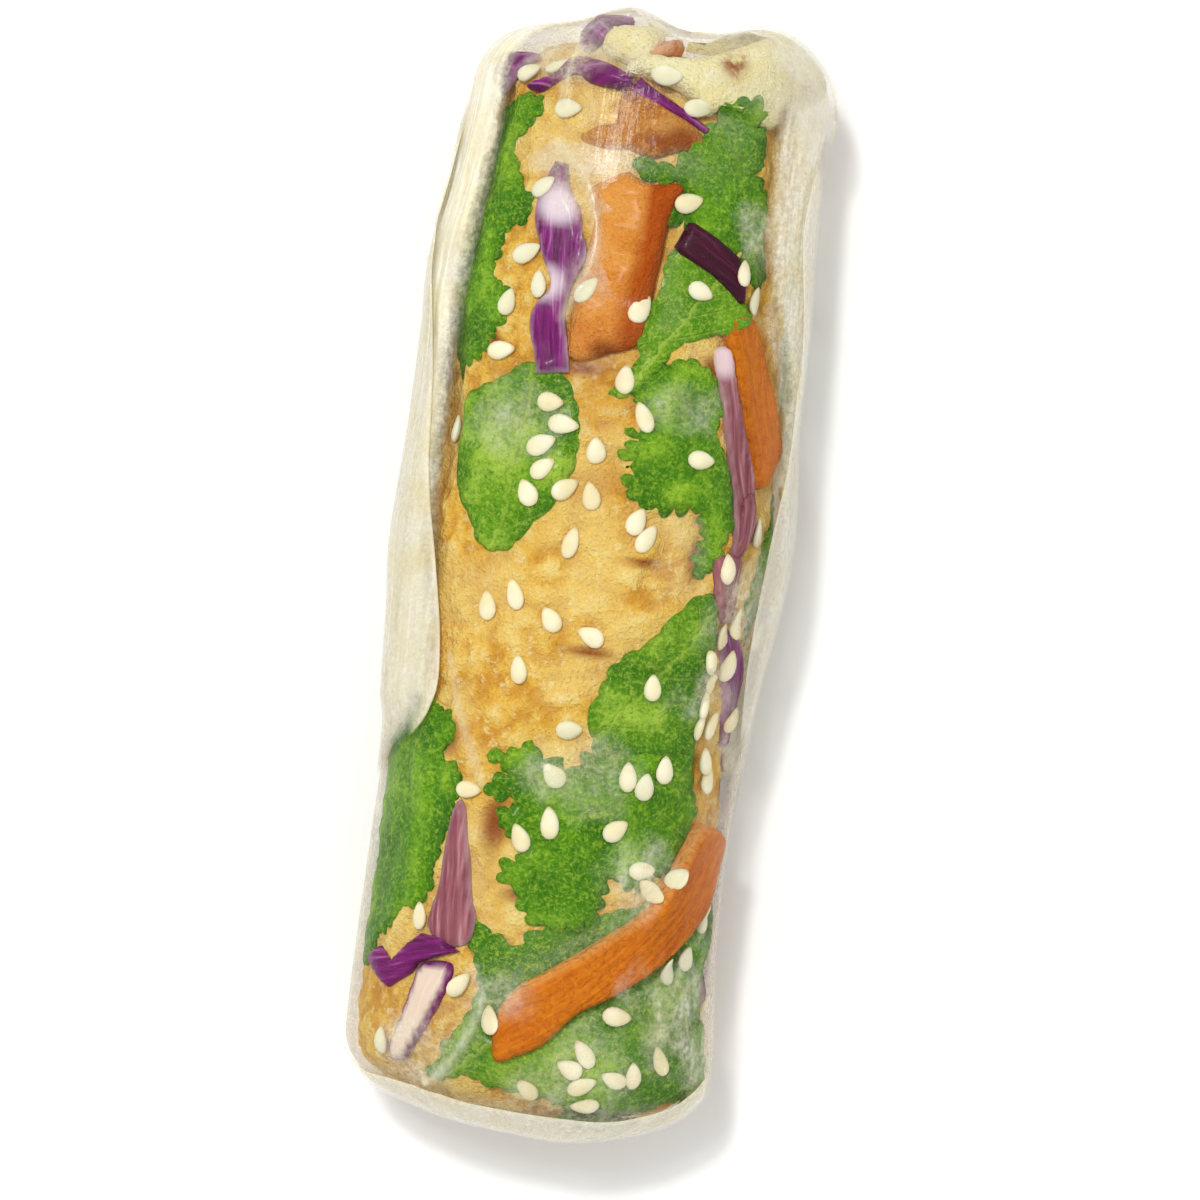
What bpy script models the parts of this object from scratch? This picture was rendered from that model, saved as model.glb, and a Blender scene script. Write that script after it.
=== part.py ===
"""A rice paper roll: one sheet of soaked rice paper wound round a crumbed fillet, with slabs,
carrot, red cabbage and herb leaves pressed between the sheet and the fillet.

The roll lies along Y with its seen side up (+Z) and rests on a narrow flat along its underside.
Lengths are in millimetres here and become metres when a mesh is made.
"""

import math

import bmesh
import bpy
import numpy as np

MM = 0.001

# ---- the roll's outer form ----------------------------------------------------------------
# Along the roll: how far it reaches to the left and right of the middle line, and how high.
ALONG = (-59.0, -50.0, -38.0, -24.0, -10.0, 4.0, 18.0, 30.0, 40.0, 50.0, 59.0)
LEFT = (19.0, 19.5, 19.4, 19.3, 20.0, 20.7, 20.0, 20.4, 19.2, 18.3, 18.0)
RIGHT = (20.0, 20.4, 19.2, 18.9, 20.1, 21.7, 20.8, 20.2, 19.6, 19.3, 20.4)
TALL = (27.0, 28.5, 29.6, 30.0, 30.6, 31.0, 31.0, 30.5, 29.5, 28.0, 26.0)
STRAIGHT = 49.6  # half of the straight run between the two folded ends
DOME = 7.3  # how far each folded end stands out past the straight run
MOUTH = math.radians(87.0)  # the ends close as far as this, and leave a small puckered mouth
MIDDLE = 0.47  # height of the widest line, as a share of the roll's height
BELLY = 0.5  # how deep the underside would sink below the table if it weren't pressed flat
SQUARENESS = 2.3  # 2 is an ellipse, more is boxier
WIDTH_CLOSING = 0.42  # how late the width closes over an end, and then the height
HEIGHT_CLOSING = 0.70
# Folds that stand up on the ends: across, reach and half width of each.
TOP_LOBES = ((-13.0, 0.2, 5.0), (-2.6, 2.6, 4.6), (12.0, 1.6, 5.4))
BOTTOM_LOBES = ((5.0, 1.9, 8.5), (-6.0, 0.9, 6.0))

# ---- the sheet ---------------------------------------------------------------------------
SHEET = 0.5  # the swollen rice paper's thickness
LAP_GAP = 0.35  # between the two layers where the sheet laps itself
LAP_START, LAP_END = -140.0, -50.0  # the stretch on the left that has two layers, in degrees
LAP_FADE = 40.0  # the inner layer has come out to the surface by this angle
UNDER_FADE = -172.0  # the filling has moved out to the single layer by this angle
SHEET_AROUND, SHEET_ALONG = 36, 23
SHEET_CROWDING = math.radians(77.4)  # the sheet's rows stand closer together towards the ends

# ---- the filling, in bands counted inwards from the sheet's inner face ---------------------
TOP_BAND = (0.35, 0.95)  # strips and leaves that lie on others
LOW_BAND = (1.30, 1.90)  # leaves and strips against the sheet with another over them
STICK_BAND = (1.30, 4.30)  # carrot sticks
SLAB_BAND = (2.25, 5.20)  # slabs that lie on the fillet
END_BAND = (2.25, 3.80)  # slabs caught in the folded ends
FILLET_DEPTH = 2.25
FILLET_ALONG, FILLET_AROUND = 26, 32
FILLET_ENDS = (-54.6, 53.4)
FILLET_ROUNDING = (3.0, 0.7)  # how much deeper the fillet's last ring and the one before it lie
DENT_REACH = 4.8  # the fillet gives way this far round a stick or slab
DENT_GAP = 0.5
CELL = 4.5  # longest side of a plate's facets
FLAT_ACROSS = 20.0  # half width of the roll, near enough to start a search from
WRAP = 17.0  # millimetres of sheet per radian round the roll

GOLD = (0.78, 0.52, 0.20)
ORANGE = (0.76, 0.33, 0.08)
BROWNED = (0.62, 0.28, 0.09)
PALE = (0.85, 0.76, 0.44)
CARROT = (0.80, 0.32, 0.02)
PURPLE = (0.28, 0.05, 0.22)
GREEN = (0.10, 0.30, 0.02)
PAPER = (0.86, 0.85, 0.74)

# Slabs: name, band, colour and corners as seen from above (across, along).
SLABS = (
    ("orange_slab", SLAB_BAND, ORANGE,
     ((-4.8, 40.6), (0.2, 41.4), (4.4, 40.4), (4.6, 31.0), (3.2, 22.2), (-4.4, 21.8), (-4.9, 30.0))),
    ("browned_end", SLAB_BAND, BROWNED,
     ((-8.0, 42.4), (0.2, 42.6), (5.0, 44.2), (5.6, 46.2), (-1.0, 48.6), (-5.0, 46.6))),
    ("pale_slab", END_BAND, PALE,
     ((4.2, 50.6), (8.0, 48.2), (14.6, 47.2), (17.0, 49.8), (14.6, 53.4), (9.6, 54.2), (5.4, 53.6))),
    ("pale_end", END_BAND, PALE,
     ((-5.6, 51.4), (-0.4, 51.6), (1.6, 54.0), (-0.8, 55.6), (-4.4, 55.4))),
)

# Sticks and strips: name, band, colour, width and middle line as seen from above.
STICKS = (
    ("carrot_arc", STICK_BAND, CARROT, 4.6, ((13.2, 27.6), (15.8, 24.2), (17.2, 18.6), (17.2, 12.4))),
    ("carrot_baton", STICK_BAND, CARROT, 4.8,
     ((15.4, -25.4), (14.8, -30.8), (10.7, -37.7), (4.2, -43.7), (-3.0, -48.3))),
    ("carrot_tip", LOW_BAND, CARROT, 2.0, ((-0.2, 53.4), (2.8, 54.8))),
    ("cabbage_top", LOW_BAND, PURPLE, 3.2, ((-7.4, 52.8), (-6.6, 55.2), (-4.2, 57.0))),
    ("cabbage_top_left", LOW_BAND, PURPLE, 2.6, ((-15.2, 47.4), (-14.9, 50.0), (-13.0, 52.0))),
    ("cabbage_band", TOP_BAND, PURPLE, 1.6,
     ((-12.7, 49.0), (-9.7, 50.3), (-7.4, 51.4), (-4.7, 51.3), (-1.9, 50.7))),
    ("cabbage_thread", TOP_BAND, PURPLE, 0.9, ((-0.6, 50.0), (2.9, 48.8), (6.4, 47.1))),
    ("cabbage_middle", TOP_BAND, PURPLE, 3.4,
     ((-7.8, 41.8), (-8.3, 38.0), (-7.7, 34.4), (-6.6, 30.4), (-7.0, 26.7), (-6.4, 21.6))),
    ("cabbage_dark", TOP_BAND, PURPLE, 2.4, ((5.7, 35.7), (9.1, 33.8), (12.2, 31.6))),
    ("cabbage_right", TOP_BAND, PURPLE, 2.6,
     ((11.4, 24.4), (12.8, 19.9), (15.0, 15.0), (16.6, 10.0), (16.6, 3.8))),
    ("cabbage_right_low", LOW_BAND, PURPLE, 3.0, ((16.4, 2.6), (16.2, -3.0))),
    ("cabbage_side", LOW_BAND, PURPLE, 2.2, ((17.2, -5.2), (17.4, -10.5), (17.2, -15.6))),
    ("cabbage_left_low", TOP_BAND, PURPLE, 3.0, ((-9.6, -24.7), (-9.5, -30.9), (-9.6, -37.4))),
    ("cabbage_cross", TOP_BAND, PURPLE, 2.0,
     ((-16.6, -42.0), (-14.8, -43.2), (-13.4, -41.0), (-10.9, -40.8), (-8.5, -39.6))),
    ("cabbage_cream", TOP_BAND, PURPLE, 3.4, ((-9.8, -43.2), (-11.2, -46.8), (-12.2, -51.2))),
)

# Leaves: name, band, middle (across, along), length, width, turn in degrees, teeth, bite.
LEAVES = (
    ("leaf_left_top", LOW_BAND, (-14.9, 32.0), 26.0, 5.4, -2.0, 9, 0.10),
    ("leaf_round", LOW_BAND, (-9.0, 11.3), 19.6, 12.2, -14.0, 0, 0.0),
    ("leaf_top_right", LOW_BAND, (10.6, 41.2), 16.4, 9.4, 14.0, 7, 0.12),
    ("leaf_middle", LOW_BAND, (8.0, 13.0), 18.6, 9.4, -8.0, 9, 0.14),
    ("leaf_big", TOP_BAND, (8.2, -8.6), 18.8, 10.4, 38.0, 0, 0.0),
    ("leaf_low", LOW_BAND, (2.8, -25.2), 21.0, 14.0, 12.0, 9, 0.16),
    ("leaf_left_low", LOW_BAND, (-14.6, -29.2), 27.0, 7.4, 8.0, 9, 0.10),
    ("leaf_right_side", LOW_BAND, (18.9, 4.6), 8.0, 2.2, 5.0, 0, 0.0),
    ("leaf_foot", LOW_BAND, (8.6, -55.2), 2.4, 8.0, 0.0, 5, 0.10),
)

# Leaves whose edge follows a neighbour: name, band and corners.
CUT_LEAVES = (
    ("leaf_stalk", TOP_BAND,
     ((0.0, 18.8), (1.2, 18.3), (4.4, 22.6), (7.2, 25.6), (11.0, 25.2), (13.8, 26.2), (13.4, 27.8),
      (8.2, 30.0), (5.6, 31.0), (5.2, 28.0), (3.2, 23.6))),
    ("leaf_beside_baton", LOW_BAND,
     ((-6.4, -37.6), (-1.0, -36.8), (2.5, -38.2), (4.0, -39.8), (-0.8, -43.4), (-6.0, -46.2),
      (-7.4, -50.0), (-8.6, -49.0), (-7.6, -43.0))),
    ("leaf_bottom", LOW_BAND,
     ((-8.0, -53.0), (-6.2, -51.4), (-1.4, -51.6), (6.8, -47.0), (13.0, -41.2), (16.4, -38.4),
      (17.2, -46.0), (16.4, -50.8), (8.0, -52.6), (0.0, -53.0))),
)

# The side that lies down. Here across is millimetres of sheet round from the top line.
LEAVES_BELOW = (
    ("leaf_below_right_top", LOW_BAND, (41.0, 27.0), 24.0, 12.0, 15.0, 9, 0.14),
    ("leaf_below_right_low", LOW_BAND, (47.0, -12.0), 26.0, 13.0, -20.0, 9, 0.14),
    ("leaf_below_left_low", LOW_BAND, (-38.0, -31.0), 22.0, 11.0, 10.0, 9, 0.12),
    ("leaf_below_left_top", LOW_BAND, (-33.0, 9.0), 19.0, 10.0, -8.0, 0, 0.0),
    ("leaf_corner", LOW_BAND, (24.4, -46.0), 9.0, 3.2, 6.0, 0, 0.0),
)
STICKS_BELOW = (
    ("carrot_below", STICK_BAND, CARROT, 4.6, ((-45.0, 34.0), (-47.0, 20.0), (-45.0, 2.0))),
    ("cabbage_below_right", TOP_BAND, PURPLE, 2.8, ((31.0, -43.0), (34.0, -30.0), (32.0, -14.0))),
    ("cabbage_below_left", TOP_BAND, PURPLE, 2.8, ((-30.0, 43.0), (-33.0, 31.0), (-30.0, 17.0))),
)


# ---- the roll's surface --------------------------------------------------------------------
def eased(x):
    """A smooth step from 0 to 1."""
    x = np.clip(x, 0.0, 1.0)
    return x * x * (3.0 - 2.0 * x)


def size_at(along, values):
    """A size that runs smoothly through its values along the roll."""
    slopes = np.gradient(np.array(values), np.array(ALONG))
    along = np.clip(along, ALONG[0], ALONG[-1])
    i = np.clip(np.searchsorted(ALONG, along) - 1, 0, len(ALONG) - 2)
    gap = np.array(ALONG)[i + 1] - np.array(ALONG)[i]
    t = (along - np.array(ALONG)[i]) / gap
    start, end = np.array(values)[i], np.array(values)[i + 1]
    return (
        (2 * t**3 - 3 * t**2 + 1) * start
        + (t**3 - 2 * t**2 + t) * gap * slopes[i]
        + (3 * t**2 - 2 * t**3) * end
        + (t**3 - t**2) * gap * slopes[i + 1]
    )


def power(value, exponent):
    """A signed power, which makes the cross-section a rounded rectangle."""
    return np.sign(value) * np.abs(value) ** exponent


def lobes(across, folds):
    """How far the folds on an end stand out here."""
    return sum(reach * np.exp(-(((across - at) / half) ** 2)) for at, reach, half in folds)


def skin(angle, station):
    """The roll's outer surface, for an angle from straight up towards +X and a station along it."""
    angle, station = np.broadcast_arrays(np.asarray(angle, float), np.asarray(station, float))
    over = np.maximum(np.abs(station) - STRAIGHT, 0.0) / DOME
    along = np.sign(station) * (np.minimum(np.abs(station), STRAIGHT) + DOME * np.sin(over))
    closing = np.maximum(np.cos(over), 1e-4)
    tall = size_at(along, TALL)
    half = np.where(np.sin(angle) < 0, size_at(along, LEFT), size_at(along, RIGHT))
    middle = MIDDLE * tall
    up = np.where(np.cos(angle) > 0, tall - middle, middle + BELLY) * closing**HEIGHT_CLOSING
    x = half * closing**WIDTH_CLOSING * power(np.sin(angle), 2.0 / SQUARENESS)
    z = np.maximum(middle + up * power(np.cos(angle), 2.0 / SQUARENESS), 0.0)
    stands = eased(over / 0.7)
    y = along + stands * np.where(station > 0, lobes(x, TOP_LOBES), -lobes(x, BOTTOM_LOBES))
    return np.stack([x, y, z], axis=-1)


def inward(angle, station):
    """The unit direction from the surface into the roll."""
    step = 0.004
    around = skin(angle + step, station) - skin(angle - step, station)
    reach = 25.0 * step
    ahead = skin(angle, station + reach) - skin(angle, station - reach)
    normal = np.cross(ahead, around)
    return normal / np.linalg.norm(normal, axis=-1, keepdims=True)


def beneath(angle, station, depth):
    """The point this deep under the outer surface."""
    return skin(angle, station) + inward(angle, station) * np.asarray(depth)[..., None]


def lining(angle):
    """How deep the sheet's inner face lies, as the filling meets it."""
    turn = (np.degrees(angle) + 180.0) % 360.0 - 180.0
    rise = eased((turn - UNDER_FADE) / (LAP_START - 5.0 - UNDER_FADE))
    fall = 1.0 - eased((turn - LAP_END) / (LAP_FADE - LAP_END))
    return SHEET + (SHEET + LAP_GAP) * rise * fall


def seen_from_above(across, along):
    """Angle and station of the point on the upper side that lies at this place in plan."""
    reach = STRAIGHT + 1.3 * DOME
    stations = np.linspace(-reach, reach, 181)
    turns = np.radians(np.linspace(-88.0, 88.0, 177))
    angle = math.asin(max(-1.0, min(1.0, across / FLAT_ACROSS)))
    for _ in range(4):
        station = float(np.interp(along, skin(angle, stations)[:, 1], stations))
        angle = float(np.interp(across, skin(turns, station)[:, 0], turns))
    return angle, station


# ---- outlines ------------------------------------------------------------------------------
def strip_outline(line, width):
    """A band along a middle line, with blunt ends, that narrows a little towards both."""
    line = np.array(line)
    t = np.linspace(0.0, 1.0, len(line))
    fine = np.linspace(0.0, 1.0, 3 * len(line) - 2)
    middle = np.stack([np.interp(fine, t, line[:, k]) for k in (0, 1)], axis=1)
    middle[1:-1] = (middle[:-2] + 2.0 * middle[1:-1] + middle[2:]) / 4.0
    ahead = np.gradient(middle, axis=0)
    ahead /= np.linalg.norm(ahead, axis=1, keepdims=True)
    side = np.stack([ahead[:, 1], -ahead[:, 0]], axis=1)
    half = 0.5 * width * (0.78 + 0.22 * np.sin(np.pi * fine))[:, None]
    return np.concatenate([middle + side * half, (middle - side * half)[::-1]])


def leaf_outline(middle, length, width, turn, teeth, bite):
    """An egg-shaped leaf with a pointed far end and, where it has teeth, a scalloped edge."""
    points = []
    steps = max(16, 4 * teeth)
    for k in range(steps):
        t = 2.0 * math.pi * k / steps
        scallop = 1.0 - bite * (0.5 + 0.5 * math.cos(teeth * t)) if teeth else 1.0
        across = 0.5 * width * math.sin(t) * (1.0 + 0.18 * math.cos(t)) * scallop
        along = -0.5 * length * math.cos(t) * scallop
        a = math.radians(turn)
        points.append((
            middle[0] + across * math.cos(a) + along * math.sin(a),
            middle[1] - across * math.sin(a) + along * math.cos(a),
        ))
    return np.array(points)


def wrapped(outline):
    """An outline in plan, as millimetres of sheet round and along the roll."""
    found = [seen_from_above(x, y) for x, y in outline]
    return np.array([(angle * WRAP, station) for angle, station in found])


def distance_outside(point, outline):
    """How far a point lies outside a closed outline, or 0 if it is inside."""
    start, end = outline, np.roll(outline, -1, axis=0)
    run = end - start
    t = np.clip(((point - start) * run).sum(1) / (run**2).sum(1), 0.0, 1.0)
    nearest = np.linalg.norm(start + run * t[:, None] - point, axis=1).min()
    rises = (start[:, 1] > point[1]) != (end[:, 1] > point[1])
    crossing = start[:, 0] + (point[1] - start[:, 1]) * run[:, 0] / np.where(run[:, 1] == 0, 1, run[:, 1])
    inside = np.count_nonzero(rises & (point[0] < crossing)) % 2 == 1
    return 0.0 if inside else float(nearest)


# ---- making objects --------------------------------------------------------------------------
def clear_scene():
    """Removes every object that is already there."""
    for old in list(bpy.data.objects):
        bpy.data.objects.remove(old, do_unlink=True)


def material(name, colour, roughness, alpha=1.0):
    """A plain finish in one colour."""
    made = bpy.data.materials.new(name)
    made.use_nodes = True
    shader = made.node_tree.nodes["Principled BSDF"]
    shader.inputs["Base Color"].default_value = (*colour, 1.0)
    shader.inputs["Roughness"].default_value = roughness
    shader.inputs["Metallic"].default_value = 0.0
    shader.inputs["Alpha"].default_value = alpha
    return made


def finished(mesh, name, look, collection):
    """Turns a bmesh in millimetres into a named object in metres."""
    bmesh.ops.recalc_face_normals(mesh, faces=mesh.faces)
    bmesh.ops.scale(mesh, vec=(MM, MM, MM), verts=mesh.verts)
    data = bpy.data.meshes.new(name)
    mesh.to_mesh(data)
    mesh.free()
    data.shade_smooth()
    data.set_sharp_from_angle(angle=math.radians(50.0))
    data.materials.append(look)
    made = bpy.data.objects.new(name, data)
    collection.objects.link(made)
    return made


def grid(columns, rows):
    """A flat grid of a bmesh, and each vertex's place in it from 0 to 1 both ways."""
    mesh = bmesh.new()
    bmesh.ops.create_grid(mesh, x_segments=columns, y_segments=rows, size=0.5)
    places = np.array([(v.co.x + 0.5, v.co.y + 0.5) for v in mesh.verts])
    return mesh, places


def place(mesh, points):
    """Puts each vertex at its point."""
    for vertex, point in zip(mesh.verts, points):
        vertex.co = point


def make_sheet(collection):
    """The rice paper: one sheet that starts inside the left side, goes once round and laps it."""
    mesh, places = grid(SHEET_AROUND, SHEET_ALONG)
    turn = LAP_START + places[:, 0] * (360.0 + LAP_END - LAP_START)
    reach = STRAIGHT + MOUTH * DOME
    station = reach * np.sin((places[:, 1] - 0.5) * 2.0 * SHEET_CROWDING) / math.sin(SHEET_CROWDING)
    depth = (SHEET + LAP_GAP) * (1.0 - eased((turn - LAP_END) / (LAP_FADE - LAP_END)))
    place(mesh, beneath(np.radians(turn), station, depth))
    made = finished(mesh, "rice_paper", material("rice_paper", PAPER, 0.25, 0.4), collection)
    if faces_inwards(made.data):
        made.data.flip_normals()
    wall = made.modifiers.new("thickness", "SOLIDIFY")
    wall.thickness = SHEET * MM
    wall.offset = -1.0
    return made


def faces_inwards(data):
    """True if the highest face of a sheet looks down."""
    highest = max(data.polygons, key=lambda face: face.center.z)
    return highest.normal.z < 0.0


def make_fillet(collection, pressed):
    """The crumbed fillet, with a dent under each thing pressed into it."""
    mesh, places = grid(FILLET_AROUND, FILLET_ALONG)
    angle = (places[:, 0] * 2.0 - 1.0) * math.pi
    low, high = FILLET_ENDS
    station = low + (high - low) * places[:, 1]
    ring = np.rint(np.minimum(places[:, 1], 1.0 - places[:, 1]) * FILLET_ALONG)
    rounding = np.select([ring == 0, ring == 1], FILLET_ROUNDING, 0.0)
    depth = FILLET_DEPTH + lining(angle) + rounding
    for outline, bottom in pressed:
        for k in range(len(depth)):
            for whole_turn in (-2.0 * math.pi, 0.0, 2.0 * math.pi):
                here = np.array([(angle[k] + whole_turn) * WRAP, station[k]])
                if distance_outside(here, outline) < DENT_REACH:
                    depth[k] = max(depth[k], bottom + DENT_GAP + float(lining(angle[k])))
    place(mesh, beneath(angle, station, depth))
    bmesh.ops.remove_doubles(mesh, verts=mesh.verts, dist=0.001)
    bmesh.ops.holes_fill(mesh, edges=mesh.edges, sides=0)
    return finished(mesh, "crumbed_fillet", material("crumbed_fillet", GOLD, 0.7), collection)


def make_plate(collection, name, outline, band, colour):
    """A plate with this outline on the unrolled sheet, bent round the roll between two depths."""
    mesh = bmesh.new()
    mesh.faces.new([mesh.verts.new((u, v, 0.0)) for u, v in outline])
    for axis in (0, 1):
        low, high = outline[:, axis].min(), outline[:, axis].max()
        cuts = int((high - low) / CELL)
        for k in range(1, cuts + 1):
            at, normal = [0.0, 0.0, 0.0], [0.0, 0.0, 0.0]
            at[axis] = low + (high - low) * k / (cuts + 1)
            normal[axis] = 1.0
            everything = mesh.verts[:] + mesh.edges[:] + mesh.faces[:]
            bmesh.ops.bisect_plane(mesh, geom=everything, plane_co=at, plane_no=normal, dist=0.05)
    top = mesh.verts[:]
    walls = bmesh.ops.extrude_face_region(mesh, geom=mesh.faces[:], use_keep_orig=True)
    bottom = [item for item in walls["geom"] if isinstance(item, bmesh.types.BMVert)]
    for vertices, depth in ((top, band[0]), (bottom, band[1])):
        angle = np.array([v.co.x for v in vertices]) / WRAP
        station = np.array([v.co.y for v in vertices])
        for vertex, point in zip(vertices, beneath(angle, station, depth + lining(angle))):
            vertex.co = point
    bmesh.ops.triangulate(mesh, faces=mesh.faces)
    return finished(mesh, name, material(name, colour, 0.45), collection)


def centre_on_origin(objects):
    """Moves every mesh together so that the roll's box stands centred over the origin."""
    corners = np.array([v.co for v in objects[0].data.vertices])
    middle = (corners.min(axis=0) + corners.max(axis=0)) / 2.0
    for made in objects:
        for vertex in made.data.vertices:
            vertex.co.x -= middle[0]
            vertex.co.y -= middle[1]


def main():
    clear_scene()
    collection = bpy.data.collections.new("rice_paper_roll")
    bpy.context.scene.collection.children.link(collection)
    plates = [(name, wrapped(corners), band, colour) for name, band, colour, corners in SLABS]
    plates += [(name, wrapped(strip_outline(line, width)), band, colour)
               for name, band, colour, width, line in STICKS]
    plates += [(name, strip_outline(line, width), band, colour)
               for name, band, colour, width, line in STICKS_BELOW]
    plates += [(name, wrapped(leaf_outline(*form)), band, GREEN) for name, band, *form in LEAVES]
    plates += [(name, leaf_outline(*form), band, GREEN) for name, band, *form in LEAVES_BELOW]
    plates += [(name, wrapped(corners), band, GREEN) for name, band, corners in CUT_LEAVES]
    pressed = [(outline, band[1]) for _, outline, band, _ in plates if band[1] > FILLET_DEPTH]
    made = [make_sheet(collection), make_fillet(collection, pressed)]
    made += [make_plate(collection, *plate) for plate in plates]
    centre_on_origin(made)


main()
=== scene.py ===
"""The looks of a rice paper roll lying on a table, seen from straight above.

A crumbed fillet is the core. Slabs, carrot sticks, cabbage ribbons, herb leaves and sesame seeds
are laid on it one after another on the unrolled sheet, each resting on what lies under it, and
the rice paper then clings to the whole pile. Lengths are in millimetres up to the last step.
"""

import logging
import math
from dataclasses import dataclass
from enum import Enum

import bmesh
import bpy
import numpy as np
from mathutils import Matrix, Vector


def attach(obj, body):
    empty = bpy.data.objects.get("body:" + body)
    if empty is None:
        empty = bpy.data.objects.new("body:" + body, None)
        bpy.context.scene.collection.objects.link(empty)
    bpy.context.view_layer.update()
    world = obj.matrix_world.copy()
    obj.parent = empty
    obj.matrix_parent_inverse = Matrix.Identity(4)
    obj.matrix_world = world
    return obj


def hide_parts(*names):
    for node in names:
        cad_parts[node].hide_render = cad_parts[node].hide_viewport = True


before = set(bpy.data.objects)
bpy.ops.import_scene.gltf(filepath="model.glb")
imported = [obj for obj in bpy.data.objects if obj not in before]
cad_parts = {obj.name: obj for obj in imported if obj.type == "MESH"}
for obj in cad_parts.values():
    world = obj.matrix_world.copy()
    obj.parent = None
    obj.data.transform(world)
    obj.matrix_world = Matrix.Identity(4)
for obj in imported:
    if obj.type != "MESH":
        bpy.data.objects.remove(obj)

LOG = logging.getLogger("rice_paper_roll")
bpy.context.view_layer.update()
MM = 0.001
WRAP = 17.0  # millimetres of sheet per radian round the roll
ROUND = 2.0 * math.pi * WRAP  # once round the roll
DATUM = 3.6  # how deep under the roll's outer form the heights of the pile start
MERGED = 2e-6  # corners closer than this, in metres, are one corner
SHEET_END = 66.0  # how far the pile is kept each way from the roll's middle
FAR_OUTSIDE = -9.0  # the depth given to places nowhere near an outline

Plan = tuple[tuple[float, float], ...]
Socket = bpy.types.NodeSocket
Array = np.ndarray


class Given(Enum):
    """Where the points of a plan lie."""

    FROM_ABOVE = "as seen from straight above, across and along the roll"
    ON_SHEET = "on the unrolled sheet, round and along it"

    def on_sheet(self, point: tuple[float, float]) -> tuple[float, float]:
        """The point's place on the sheet."""
        return point if self is Given.ON_SHEET else FORM.unwrap(*point)


# ---- the roll's form -------------------------------------------------------------------------
def eased(x: Array) -> Array:
    """A smooth step from 0 to 1."""
    x = np.clip(x, 0.0, 1.0)
    return x * x * (3.0 - 2.0 * x)


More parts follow.
